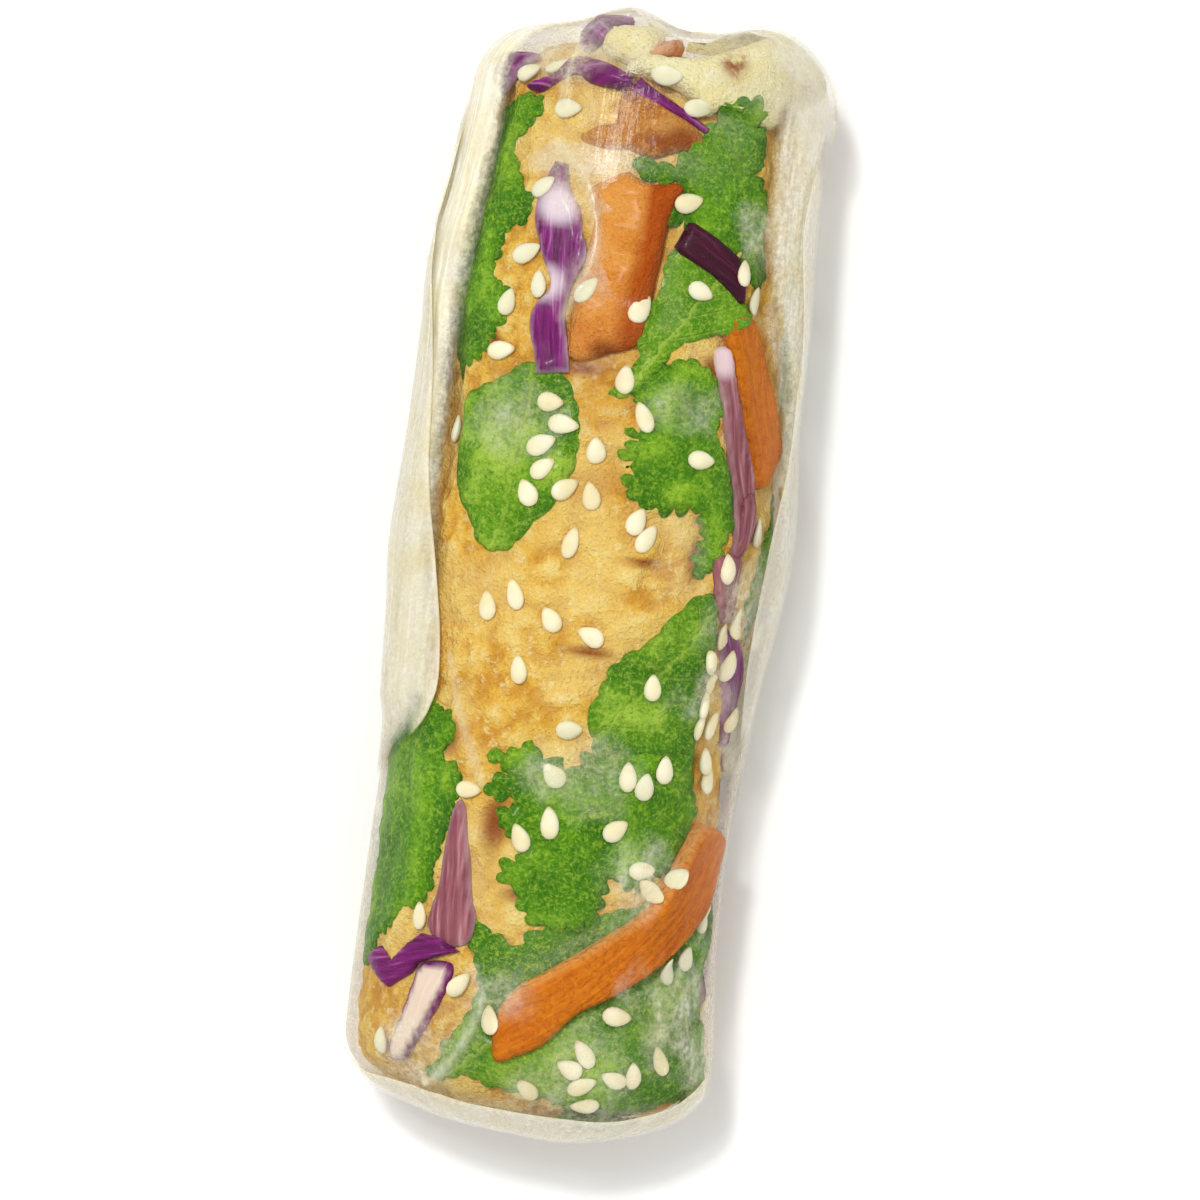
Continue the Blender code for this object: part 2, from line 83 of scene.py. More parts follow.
@dataclass(frozen=True)
class RollForm:
    """The roll's outer form, the same as the sheet's in the frame."""

    along: tuple[float, ...] = (-59.0, -50.0, -38.0, -24.0, -10.0, 4.0, 18.0, 30.0, 40.0, 50.0, 59.0)
    left: tuple[float, ...] = (19.0, 19.5, 19.4, 19.3, 20.0, 20.7, 20.0, 20.4, 19.2, 18.3, 18.0)
    right: tuple[float, ...] = (20.0, 20.4, 19.2, 18.9, 20.1, 21.7, 20.8, 20.2, 19.6, 19.3, 20.4)
    tall: tuple[float, ...] = (27.0, 28.5, 29.6, 30.0, 30.6, 31.0, 31.0, 30.5, 29.5, 28.0, 26.0)
    straight: float = 49.6
    dome: float = 7.3
    middle: float = 0.47
    belly: float = 0.5
    squareness: float = 2.3
    width_closing: float = 0.42
    height_closing: float = 0.70
    top_lobes: tuple[tuple[float, float, float], ...] = (
        (-13.0, 0.2, 5.0), (-2.6, 2.6, 4.6), (12.0, 1.6, 5.4))
    bottom_lobes: tuple[tuple[float, float, float], ...] = ((5.0, 1.9, 8.5), (-6.0, 0.9, 6.0))

    @property
    def reach(self) -> float:
        """The station where the ends have closed."""
        return self.straight + math.radians(89.0) * self.dome

    def size_at(self, along: Array, values: tuple[float, ...]) -> Array:
        """Reads a size that runs smoothly through its values along the roll.

        Args:
            along: Places along the roll.
            values: The size at each of the roll's sections.

        Returns:
            The size at each place.
        """
        knots, sizes = np.array(self.along), np.array(values)
        slopes = np.gradient(sizes, knots)
        along = np.clip(along, knots[0], knots[-1])
        i = np.clip(np.searchsorted(knots, along) - 1, 0, len(knots) - 2)
        gap = knots[i + 1] - knots[i]
        t = (along - knots[i]) / gap
        return (
            (2 * t**3 - 3 * t**2 + 1) * sizes[i]
            + (t**3 - 2 * t**2 + t) * gap * slopes[i]
            + (3 * t**2 - 2 * t**3) * sizes[i + 1]
            + (t**3 - t**2) * gap * slopes[i + 1]
        )

    def skin(self, u: Array, v: Array) -> Array:
        """The outer surface.

        Args:
            u: Millimetres of sheet round from the top line, towards +X.
            v: The station along the roll.

        Returns:
            Points in millimetres, not yet centred.
        """
        u, v = np.broadcast_arrays(np.asarray(u, float), np.asarray(v, float))
        angle = u / WRAP
        over = np.maximum(np.abs(v) - self.straight, 0.0) / self.dome
        along = np.sign(v) * (np.minimum(np.abs(v), self.straight) + self.dome * np.sin(over))
        closing = np.maximum(np.cos(over), 1e-4)
        sine, cosine = np.sin(angle), np.cos(angle)
        tall = self.size_at(along, self.tall)
        half = np.where(sine < 0, self.size_at(along, self.left), self.size_at(along, self.right))
        middle = self.middle * tall
        up = np.where(cosine > 0, tall - middle, middle + self.belly) * closing**self.height_closing
        root = 2.0 / self.squareness
        x = half * closing**self.width_closing * np.sign(sine) * np.abs(sine) ** root
        z = np.maximum(middle + up * np.sign(cosine) * np.abs(cosine) ** root, 0.0)
        lobes = np.where(v > 0, self.lobes(x, self.top_lobes), -self.lobes(x, self.bottom_lobes))
        return np.stack([x, along + eased(over / 0.7) * lobes, z], axis=-1)

    @staticmethod
    def lobes(x: Array, folds: tuple[tuple[float, float, float], ...]) -> Array:
        """How far the end's folds stand out at x."""
        return sum(reach * np.exp(-(((x - at) / half) ** 2)) for at, reach, half in folds)

    def inward(self, u: Array, v: Array) -> Array:
        """The unit direction into the roll at each place.

        Args:
            u: Millimetres round the sheet.
            v: Millimetres along it.

        Returns:
            One unit vector a place.
        """
        step = 0.25
        around = self.skin(u + step, v) - self.skin(u - step, v)
        ahead = self.skin(u, v + step) - self.skin(u, v - step)
        normal = np.cross(ahead, around)
        return normal / np.maximum(np.linalg.norm(normal, axis=-1, keepdims=True), 1e-9)

    def centre(self) -> Array:
        """The middle of the sheet's box in plan, which the frame puts over its origin."""
        u, v = np.meshgrid(np.linspace(-60.0, 60.0, 181), np.linspace(-61.0, 61.0, 245))
        points = self.skin(u, v).reshape(-1, 3)
        middle = (points.min(axis=0) + points.max(axis=0)) / 2.0
        return np.array([middle[0], middle[1], 0.0])

    def point(self, u: Array, v: Array, height: Array) -> Array:
        """A point of the pile.

        Args:
            u: Millimetres of sheet round from the top line.
            v: The station along the roll.
            height: Millimetres above the datum.

        Returns:
            Points in metres in the frame.
        """
        depth = DATUM - np.asarray(height, float)
        place = self.skin(u, v) + self.inward(u, v) * depth[..., None]
        place[..., 2] = np.maximum(place[..., 2], 0.0)
        return (place - CENTRE) * MM

    def unwrap(self, across: float, along: float) -> tuple[float, float]:
        """Finds the place on the sheet that is seen at this place from straight above.

        Args:
            across: Millimetres to the right of the middle line.
            along: Millimetres along the roll.

        Returns:
            The place round and along the sheet.
        """
        turns = np.linspace(-1.45 * WRAP, 1.45 * WRAP, 121)
        stations = np.linspace(-self.reach, self.reach, 181)
        u = math.asin(max(-1.0, min(1.0, across / 20.0))) * WRAP
        v = along
        for _ in range(3):
            near = self.skin(u, stations) + self.inward(u, stations) * 1.2
            v = float(np.interp(along, near[:, 1], stations))
            near = self.skin(turns, v) + self.inward(turns, v) * 1.2
            u = float(np.interp(across, near[:, 0], turns))
        return u, v


FORM = RollForm()
CENTRE = FORM.centre()


# ---- smooth random fields ---------------------------------------------------------------------
class Ripple:
    """A smooth random field over the sheet, the same on every run."""

    def __init__(self, seed: int, size: tuple[float, float], octaves: int = 1) -> None:
        """Draws the field.

        Args:
            seed: Which field this is.
            size: How wide its waves are round and along the roll, in millimetres.
            octaves: How many finer fields are added, each half as wide and half as strong.
        """
        self.size, self.octaves = size, octaves
        self.lattice = np.random.default_rng(seed).uniform(-1.0, 1.0, (octaves, 64, 64))

    def at(self, u: Array, v: Array) -> Array:
        """The field's value at each place, from about -1 to 1.

        Args:
            u: Millimetres round the sheet.
            v: Millimetres along it.

        Returns:
            The values.
        """
        total, strength = np.zeros(np.broadcast(u, v).shape), 0.0
        for k in range(self.octaves):
            x, y = np.asarray(u) / self.size[0] * 2**k, np.asarray(v) / self.size[1] * 2**k
            i, j = np.floor(x).astype(int), np.floor(y).astype(int)
            fx, fy = eased(x - i), eased(y - j)
            grid = self.lattice[k]
            corner = [grid[(j + b) % 64, (i + a) % 64] for b in (0, 1) for a in (0, 1)]
            low = corner[0] * (1 - fx) + corner[1] * fx
            high = corner[2] * (1 - fx) + corner[3] * fx
            total += (low * (1 - fy) + high * fy) * 0.5**k
            strength += 0.5**k
        return total / strength


# ---- outlines on the sheet -----------------------------------------------------------------
def curve(points: Array, step: float, closed: bool, soft: bool = True) -> Array:
    """A smooth line through points.

    Args:
        points: The points it passes.
        step: How close together its own points stand.
        closed: Whether it runs back to its start.
        soft: Whether it is rounded, or straight from point to point.

    Returns:
        The line's points.
    """
    if closed:
        ring = np.concatenate([points[-1:], points, points[:2]])
    else:
        ring = np.concatenate([2 * points[:1] - points[1:2], points, 2 * points[-1:] - points[-2:-1]])
    found = []
    for a, b, c, d in zip(ring, ring[1:], ring[2:], ring[3:]):
        count = max(1, int(np.linalg.norm(c - b) / step))
        t = (np.arange(count) / count)[:, None]
        square, cube = 2 * a - 5 * b + 4 * c - d, 3 * b - a - 3 * c + d
        bent = 0.5 * (2 * b + (c - a) * t + square * t**2 + cube * t**3)
        found.append(bent if soft else b + (c - b) * t)
    return np.concatenate(found if closed else [*found, points[-1:]])


def to_stretch(u: Array, v: Array, start: Array, end: Array) -> Array:
    """The squared distance of each place from a straight stretch.

    Args:
        u: Millimetres round the sheet.
        v: Millimetres along it.
        start: Where the stretch starts.
        end: Where it ends.

    Returns:
        The squared distances.
    """
    ahead = end - start
    across, along = u - start[0], v - start[1]
    t = (across * ahead[0] + along * ahead[1]) / max(float(ahead @ ahead), 1e-12)
    t = np.clip(t, 0.0, 1.0)
    return (across - ahead[0] * t) ** 2 + (along - ahead[1] * t) ** 2


def distance_to(line: Array, u: Array, v: Array) -> Array:
    """How far each place lies from an open line on the sheet."""
    nearest = np.full(np.shape(u), 1e9)
    for start, end in zip(line, line[1:]):
        nearest = np.minimum(nearest, to_stretch(u, v, start, end))
    return np.sqrt(nearest)


def traced(plan: Plan) -> Array:
    """A smooth open line on the sheet, given as it is seen from straight above."""
    return curve(np.array([FORM.unwrap(x, y) for x, y in plan]), 0.6, False)


class Cut:
    """A closed outline on the unrolled sheet."""

    def __init__(self, points: Array) -> None:
        """Keeps the outline's points."""
        self.points = points

    @classmethod
    def seen(cls, plan: Plan, step: float = 0.5, soft: bool = True) -> "Cut":
        """An outline given as it is seen from straight above."""
        return cls.laid([FORM.unwrap(x, y) for x, y in plan], step, soft)

    @classmethod
    def laid(cls, corners: Array | list, step: float = 0.5, soft: bool = True) -> "Cut":
        """An outline given on the sheet itself, rounded through its corners or left straight."""
        return cls(curve(np.array(corners), step, True, soft))

    @classmethod
    def ribbon(cls, line: Array, widths: tuple[float, ...], step: float = 0.5) -> "Cut":
        """A band along a middle line, as wide as stated at each of its points.

        Args:
            line: The line's points on the sheet.
            widths: The width at each of them.
            step: How close together the outline's points stand.

        Returns:
            The band's outline.
        """
        path = curve(np.column_stack([line, widths]), step, False)
        middle, wide = path[:, :2], path[:, 2:]
        ahead = np.gradient(middle, axis=0)
        ahead /= np.linalg.norm(ahead, axis=1, keepdims=True)
        side = np.stack([ahead[:, 1], -ahead[:, 0]], axis=1) * wide / 2.0
        return cls(np.concatenate([middle + side, (middle - side)[::-1]]))

    def toothed(self, wave: float, bite: float, seed: int, lobe: float = 0.0) -> "Cut":
        """The outline with a scalloped edge, as on a coriander leaf.

        Args:
            wave: Millimetres from one tooth to the next.
            bite: How far the teeth stand out.
            seed: Which way the teeth are uneven.
            lobe: How far each run of four teeth or so stands out further.

        Returns:
            The toothed outline.
        """
        ring = np.vstack([self.points, self.points[:1]])
        lengths = np.r_[0.0, np.cumsum(np.linalg.norm(np.diff(ring, axis=0), axis=1))]
        count = int(lengths[-1] / 0.22)
        at = np.linspace(0.0, lengths[-1], count, endpoint=False)
        line = np.stack([np.interp(at, lengths, ring[:, k]) for k in (0, 1)], axis=1)
        ahead = np.roll(line, -2, axis=0) - np.roll(line, 2, axis=0)
        ahead /= np.maximum(np.linalg.norm(ahead, axis=1, keepdims=True), 1e-6)
        side = np.stack([ahead[:, 1], -ahead[:, 0]], axis=1)
        if self.area() < 0:
            side = -side
        rng = np.random.default_rng(seed)
        teeth = max(3, round(lengths[-1] / wave))
        phase = at / lengths[-1] * teeth + 0.28 * np.sin(2 * np.pi * at / lengths[-1] * 3 + seed)
        strength = rng.uniform(0.4, 1.4, teeth + 2)[np.floor(phase).astype(int) % (teeth + 2)]
        out = bite * strength * np.abs(np.sin(np.pi * phase)) ** 0.55 - 0.45 * bite
        out += lobe * np.abs(np.sin(np.pi * phase / 4.0 + seed)) ** 0.55 - 0.6 * lobe
        return Cut(line + side * out[:, None])

    def area(self) -> float:
        """The signed area, positive where the outline runs anticlockwise."""
        x, y = self.points[:, 0], self.points[:, 1]
        return 0.5 * float(np.sum(x * np.roll(y, -1) - np.roll(x, -1) * y))

    def depth(self, u: Array, v: Array) -> Array:
        """How far inside the outline each place lies, negative outside.

        Args:
            u: Millimetres round the sheet.
            v: Millimetres along it.

        Returns:
            The depths.
        """
        u, v = np.asarray(u, float), np.asarray(v, float)
        nearest = np.full(u.shape, 1e9)
        inside = np.zeros(u.shape, bool)
        for start, end in zip(self.points, np.roll(self.points, -1, axis=0)):
            nearest = np.minimum(nearest, to_stretch(u, v, start, end))
            rx, ry = end - start
            if ry:
                crossing = start[0] + (v - start[1]) * rx / ry
                inside ^= ((start[1] > v) != (end[1] > v)) & (u < crossing)
        return np.where(inside, 1.0, -1.0) * np.sqrt(nearest)


# ---- the pile --------------------------------------------------------------------------------
class Bed:
    """The top of the pile over the unrolled sheet, as heights above the datum."""

    def __init__(self) -> None:
        """Starts with the bare datum."""
        self.u = np.linspace(-ROUND / 2, ROUND / 2, 360, endpoint=False)
        self.v = np.linspace(-SHEET_END, SHEET_END, 440, endpoint=False)
        self.grid_u, self.grid_v = np.meshgrid(self.u, self.v)
        self.height = np.zeros(self.grid_u.shape)

    def blurred(self, values: Array, reach: float) -> Array:
        """The values smoothed over about this many millimetres."""
        fu = np.fft.rfftfreq(len(self.u), ROUND / len(self.u))
        fv = np.fft.fftfreq(len(self.v), 2.0 * SHEET_END / len(self.v))
        pass_band = np.exp(-2.0 * (math.pi * reach) ** 2 * (fu[None, :] ** 2 + fv[:, None] ** 2))
        return np.fft.irfft2(np.fft.rfft2(values) * pass_band, s=values.shape)

    def read(self, values: Array, u: Array, v: Array) -> Array:
        """Reads a field of the bed at places between its cells.

        Args:
            values: The field, one value a cell.
            u: Millimetres round the sheet.
            v: Millimetres along it.

        Returns:
            The values there.
        """
        x = (np.asarray(u) + ROUND / 2) / ROUND * len(self.u)
        y = (np.asarray(v) + SHEET_END) / (2.0 * SHEET_END) * len(self.v)
        y = np.clip(y, 0, len(self.v) - 1.001)
        i, j = np.floor(x).astype(int), np.floor(y).astype(int)
        fx, fy = x - i, y - j
        a, b = i % len(self.u), (i + 1) % len(self.u)
        low = values[j, a] * (1 - fx) + values[j, b] * fx
        high = values[j + 1, a] * (1 - fx) + values[j + 1, b] * fx
        return low * (1 - fy) + high * fy

    def inside(self, cut: Cut, margin: float = 1.0) -> Array:
        """How deep each cell lies inside an outline, negative outside.

        Args:
            cut: The outline.
            margin: How far outside it counts.

        Returns:
            The depths, one a cell.
        """
        low, high = cut.points.min(axis=0) - margin, cut.points.max(axis=0) + margin
        depth = np.full(self.height.shape, FAR_OUTSIDE)
        for turn in (-ROUND, 0.0, ROUND):
            u = self.grid_u + turn
            near = (u > low[0]) & (u < high[0]) & (self.grid_v > low[1]) & (self.grid_v < high[1])
            if near.any():
                depth[near] = np.maximum(depth[near], cut.depth(u[near], self.grid_v[near]))
        return depth

    def dent(self, cut: Cut, by: float, reach: float = 1.6) -> None:
        """Presses the pile down under an outline."""
        depth = self.inside(cut, reach)
        self.height -= by * self.blurred((depth > -0.3).astype(float), reach)

    def lay(self, cut: Cut, thickness: float, edge: float, soften: float, lip: float = 0.3) -> "Rest":
        """Lays something on the pile, and raises the pile by it.

        Args:
            cut: Its outline.
            thickness: Its full thickness.
            edge: How far in from the outline it reaches that thickness.
            soften: How far it bridges the hollows under it, in millimetres.
            lip: The share of the thickness that its very edge has.

        Returns:
            Where it rests.
        """
        under = self.blurred(self.height, soften)
        depth = self.inside(cut)
        rest = Rest(self, under, thickness, edge, lip)
        inside = depth > 0.0
        self.height[inside] = np.maximum(self.height, under + rest.crown(depth))[inside]
        return rest


@dataclass
class Rest:
    """How one thing rests on the pile."""

    bed: Bed
    under: Array
    thickness: float
    edge: float
    lip: float

    def crown(self, depth: Array) -> Array:
        """The thickness this far inside the outline."""
        t = 1.0 - np.clip(depth / self.edge, 0.0, 1.0)
        return self.thickness * (self.lip + (1.0 - self.lip) * np.sqrt(1.0 - t**2))

    def floor(self, u: Array, v: Array) -> Array:
        """The height of what it rests on."""
        return self.bed.read(self.under, u, v)


# ---- meshes ----------------------------------------------------------------------------------
def finished(
    mesh: bmesh.types.BMesh,
    name: str,
    points: Array,
    uv: Array,
    marks: dict[str, Array],
    look: bpy.types.Material,
    closing: bool = False,
) -> bpy.types.Object:
    """Turns a bmesh into a finished piece.

    Args:
        mesh: The bmesh, which is used up.
        name: The piece's name.
        points: Where each vertex lies, in metres.
        uv: Each vertex's place in the piece's own pattern.
        marks: Values that vary over the piece and that its material reads.
        look: Its material.
        closing: Whether open ends are closed.

    Returns:
        The new object.
    """
    pattern = mesh.loops.layers.uv.new("pattern")
    layers = {key: mesh.verts.layers.float.new(key) for key in marks}
    mesh.verts.index_update()
    for vertex, point in zip(mesh.verts, points):
        vertex.co = point
    for key, layer in layers.items():
        for vertex, value in zip(mesh.verts, marks[key]):
            vertex[layer] = float(value)
    for face in mesh.faces:
        for loop in face.loops:
            loop[pattern].uv = uv[loop.vert.index]
    bmesh.ops.remove_doubles(mesh, verts=mesh.verts, dist=MERGED)
    if closing:
        bmesh.ops.holes_fill(mesh, edges=mesh.edges, sides=0)
    bmesh.ops.recalc_face_normals(mesh, faces=mesh.faces)
    data = bpy.data.meshes.new(name)
    mesh.to_mesh(data)
    mesh.free()
    data.shade_smooth()
    data.set_sharp_from_angle(angle=math.radians(60.0))
    data.materials.append(look)
    made = bpy.data.objects.new(name, data)
    bpy.context.scene.collection.objects.link(made)
    return made


def sliced(mesh: bmesh.types.BMesh, cut: Cut, cell: float) -> None:
    """Cuts a flat face into cells small enough to follow the pile.

    Args:
        mesh: The bmesh.
        cut: The outline.
        cell: The cells' size.
    """
    for axis in (0, 1):
        low, high = cut.points[:, axis].min(), cut.points[:, axis].max()
        count = int((high - low) / cell)
        for k in range(1, count + 1):
            place, normal = [0.0, 0.0, 0.0], [0.0, 0.0, 0.0]
            place[axis], normal[axis] = low + (high - low) * k / (count + 1), 1.0
            everything = mesh.verts[:] + mesh.edges[:] + mesh.faces[:]
            bmesh.ops.bisect_plane(mesh, geom=everything, plane_co=place, plane_no=normal,
                                   dist=0.01)


def plate(cut: Cut, cell: float) -> bmesh.types.BMesh:
    """A flat plate of the outline, one unit thick, whose vertices hold their place on the sheet.

    Args:
        cut: The outline.
        cell: The cells' size.

    Returns:
        The bmesh.
    """
    mesh = bmesh.new()
    mesh.faces.new([mesh.verts.new((u, v, 0.0)) for u, v in cut.points])
    sliced(mesh, cut, cell)
    grown = bmesh.ops.extrude_face_region(mesh, geom=mesh.faces[:], use_keep_orig=True)
    top = [item for item in grown["geom"] if isinstance(item, bmesh.types.BMVert)]
    bmesh.ops.translate(mesh, vec=(0.0, 0.0, 1.0), verts=top)
    return mesh


def tube(around: int, along: int, low: float, high: float) -> bmesh.types.BMesh:
    """A grid over the whole sheet between two stations.

    Args:
        around: Cells round the roll.
        along: Cells along it.
        low: The lower end.
        high: The upper end.

    Returns:
        The bmesh.
    """
    mesh = bmesh.new()
    bmesh.ops.create_grid(mesh, x_segments=around, y_segments=along, size=0.5)
    bmesh.ops.scale(mesh, vec=(ROUND, high - low, 1.0), verts=mesh.verts)
    bmesh.ops.translate(mesh, vec=(0.0, (low + high) / 2.0, 0.0), verts=mesh.verts)
    return mesh


def places(mesh: bmesh.types.BMesh) -> tuple[Array, Array, Array]:
    """The vertices' places round, along and through the sheet."""
    spots = np.array([vertex.co for vertex in mesh.verts])
    return spots[:, 0], spots[:, 1], spots[:, 2]


# ---- finishes --------------------------------------------------------------------------------
def dyed(code: str) -> tuple[float, float, float, float]:
    """A colour as shader light values, from its red, green and blue as seen."""
    seen = [int(code[k:k + 2], 16) / 255.0 for k in (0, 2, 4)]
    return (*(x / 12.92 if x <= 0.04045 else ((x + 0.055) / 1.055) ** 2.4 for x in seen), 1.0)


class Mixture:
    """The nodes of one material or group."""

    def __init__(self, tree: bpy.types.NodeTree) -> None:
        """Starts with the nodes removed."""
        self.tree = tree
        tree.nodes.clear()

    def node(self, kind: str, *inputs: object, **settings: object) -> bpy.types.Node:
        """Adds a node.

        Args:
            kind: The node's type.
            inputs: Values or outputs for its first inputs, None for one that is left alone.
            settings: Its own settings, or inputs by name with _ for a space.

        Returns:
            The node.
        """
        made = self.tree.nodes.new(kind)
        named = {}
        for key, value in settings.items():
            if hasattr(made, key):
                setattr(made, key, value)
            else:
                named[key.replace("_", " ")] = value
        for target, value in zip(made.inputs, inputs):
            self.put(target, value)
        for key, value in named.items():
            self.put(made.inputs[key], value)
        return made

    def put(self, target: Socket, value: object) -> None:
        """Gives an input a value or links it."""
        if isinstance(value, Socket):
            self.tree.links.new(value, target)
        elif value is not None:
            target.default_value = value

    def maths(self, operation: str, a: object, b: object = None, clamp: bool = False) -> Socket:
        """One sum on values."""
        return self.node("ShaderNodeMath", a, b, operation=operation, use_clamp=clamp).outputs[0]

    def step(self, value: object, low: float, high: float) -> Socket:
        """A smooth step that is 0 at low and 1 at high."""
        made = self.node("ShaderNodeMapRange", value, low, high, 0.0, 1.0,
                         interpolation_type="SMOOTHSTEP")
        return made.outputs[0]

    def blend(self, share: object, a: object, b: object, how: str = "MIX") -> Socket:
        """Two colours mixed."""
        made = self.node("ShaderNodeMix", data_type="RGBA", blend_type=how, clamp_factor=True)
        for target, value in zip((made.inputs[0], made.inputs[6], made.inputs[7]), (share, a, b)):
            self.put(target, value)
        return made.outputs[2]

    def tint(self, colour: object, mask: object, strength: float, over: str) -> Socket:
        """A colour with another one laid over it where a mask says."""
        return self.blend(self.share(mask, strength), colour, dyed(over))

    def share(self, mask: object, strength: float) -> Socket:
        """A mask made weaker or stronger."""
        return self.maths("MULTIPLY", mask, strength)

    def mark(self, name: str) -> Socket:
        """A value that varies over the piece."""
        return self.node("ShaderNodeAttribute", attribute_name=name).outputs["Fac"]

    def place(self) -> Socket:
        """The place on the object."""
        return self.node("ShaderNodeTexCoord").outputs["Object"]

    def pattern(self) -> Socket:
        """The place in the piece's own pattern."""
        return self.node("ShaderNodeUVMap", uv_map="pattern").outputs[0]

    def noise(self, vector: object, scale: object, detail: float = 3.0,
              rough: float = 0.55) -> Socket:
        """Smooth noise."""
        made = self.node("ShaderNodeTexNoise", Vector=vector, Scale=scale, Detail=detail,
                         Roughness=rough)
        return made.outputs[0]

    def stretched(self, vector: object, scale: tuple[float, float, float]) -> Socket:
        """A place scaled by different amounts each way."""
        return self.node("ShaderNodeMapping", vector, None, None, scale).outputs[0]

    def bump(self, height: object, strength: float, distance: float) -> Socket:
        """A normal tilted by a height."""
        made = self.node("ShaderNodeBump", Strength=strength, Distance=distance, Height=height)
        return made.outputs[0]


def group(name: str, inputs: dict[str, tuple[str, object]], outputs: dict[str, str]) -> tuple:
    """Starts a node group.

    Args:
        name: The group's name.
        inputs: Each input's socket type and value.
        outputs: Each output's socket type.

    Returns:
        The group, its mixture, its input node and its output node.
    """
    tree = bpy.data.node_groups.new(name, "ShaderNodeTree")
    for key, (kind, value) in inputs.items():
        socket = tree.interface.new_socket(key, in_out="INPUT", socket_type=kind)
        if value is not None:
            socket.default_value = value
    for key, kind in outputs.items():
        tree.interface.new_socket(key, in_out="OUTPUT", socket_type=kind)
    mixture = Mixture(tree)
    return tree, mixture, mixture.node("NodeGroupInput"), mixture.node("NodeGroupOutput")


class Groups:
    """The effects that several finishes share."""

    def __init__(self) -> None:
        """Builds each group once."""
        self.mottle = self.make_mottle()
        self.fibre = self.make_fibre()

    @staticmethod
    def make_mottle() -> bpy.types.NodeTree:
        """Broad patches, small specks and a height, as on anything fried, cut or grown.

        Returns:
            The group.
        """
        value, vector = "NodeSocketFloat", "NodeSocketVector"
        tree, mix, start, end = group(
            "mottle", {"Place": (vector, None), "Patch": (value, 140.0), "Speck": (value, 900.0)},
            {"Patches": value, "Specks": value, "Height": value})
        broad = mix.noise(start.outputs["Place"], start.outputs["Patch"])
        fine = mix.noise(start.outputs["Place"], start.outputs["Speck"], 2.0)
        mix.put(end.inputs["Patches"], mix.step(broad, 0.34, 0.66))
        mix.put(end.inputs["Specks"], mix.step(fine, 0.38, 0.68))
        mix.put(end.inputs["Height"], mix.maths("ADD", broad, mix.share(fine, 0.5)))
        return tree

    @staticmethod
    def make_fibre() -> bpy.types.NodeTree:
        """Fine lines along a piece's length, from its own pattern in millimetres.

        Returns:
            The group.
        """
        value, vector = "NodeSocketFloat", "NodeSocketVector"
        tree, mix, start, end = group(
            "fibre", {"Pattern": (vector, None), "Fineness": (value, 1.0)}, {"Lines": value})
        drawn = mix.stretched(start.outputs["Pattern"], (1.6, 0.12, 1.0))
        mix.put(end.inputs["Lines"], mix.noise(drawn, start.outputs["Fineness"]))
        return tree


GROUPS = Groups()


@dataclass(frozen=True)
class Finish:
    """One finish, and the slot of the record that it belongs to."""

    name: str
    slot: str

    def material(self) -> bpy.types.Material:
        """The finish's material, made the first time it is asked for.

        Returns:
            The material.
        """
        known = bpy.data.materials.get(self.name)
        if known:
            return known
        made = bpy.data.materials.new(self.name)
        made.use_nodes = True
        mix = Mixture(made.node_tree)
        end = mix.node("ShaderNodeOutputMaterial")
        mix.put(end.inputs["Surface"], self.surface(mix))
        return made

    def surface(self, mix: Mixture) -> Socket:
        """The finish's shader."""
        raise NotImplementedError

    @staticmethod
    def mottle(mix: Mixture, patch: float, speck: float) -> bpy.types.Node:
        """The mottle group on the object's own coordinates."""
        return mix.node("ShaderNodeGroup", node_tree=GROUPS.mottle, Place=mix.place(), Patch=patch,
                        Speck=speck)

    @staticmethod
    def fibre(mix: Mixture, fineness: float) -> Socket:
        """The fibre group on the piece's own pattern."""
        made = mix.node("ShaderNodeGroup", node_tree=GROUPS.fibre, Pattern=mix.pattern(),
                        Fineness=fineness)
        return made.outputs["Lines"]

    @staticmethod
    def body(mix: Mixture, colour: object, roughness: float, normal: object, soft: float = 0.0,
             glow: tuple[float, float, float] = (1.0, 0.5, 0.2), wet: float = 0.0,
             gloss: float = 0.12) -> Socket:
        """A Principled shader for moist food.

        Args:
            mix: The material's nodes.
            colour: The base colour.
            roughness: How rough it is.
            normal: The bumped normal.
            soft: How much light wanders inside it.
            glow: How far each colour of light wanders, in millimetres.
            wet: The strength of the wet coat over it.
            gloss: Its own reflection, which is weak where wet paper clings to it.

        Returns:
            The shader's output.
        """
        shader = mix.node("ShaderNodeBsdfPrincipled", Base_Color=colour, Roughness=roughness,
                          Normal=normal)
        shader.inputs["Subsurface Weight"].default_value = soft
        shader.inputs["Subsurface Radius"].default_value = glow
        shader.inputs["Subsurface Scale"].default_value = MM
        shader.inputs["Coat Weight"].default_value = wet
        shader.inputs["Coat Roughness"].default_value = 0.15
        shader.inputs["Specular IOR Level"].default_value = gloss
        return shader.outputs[0]


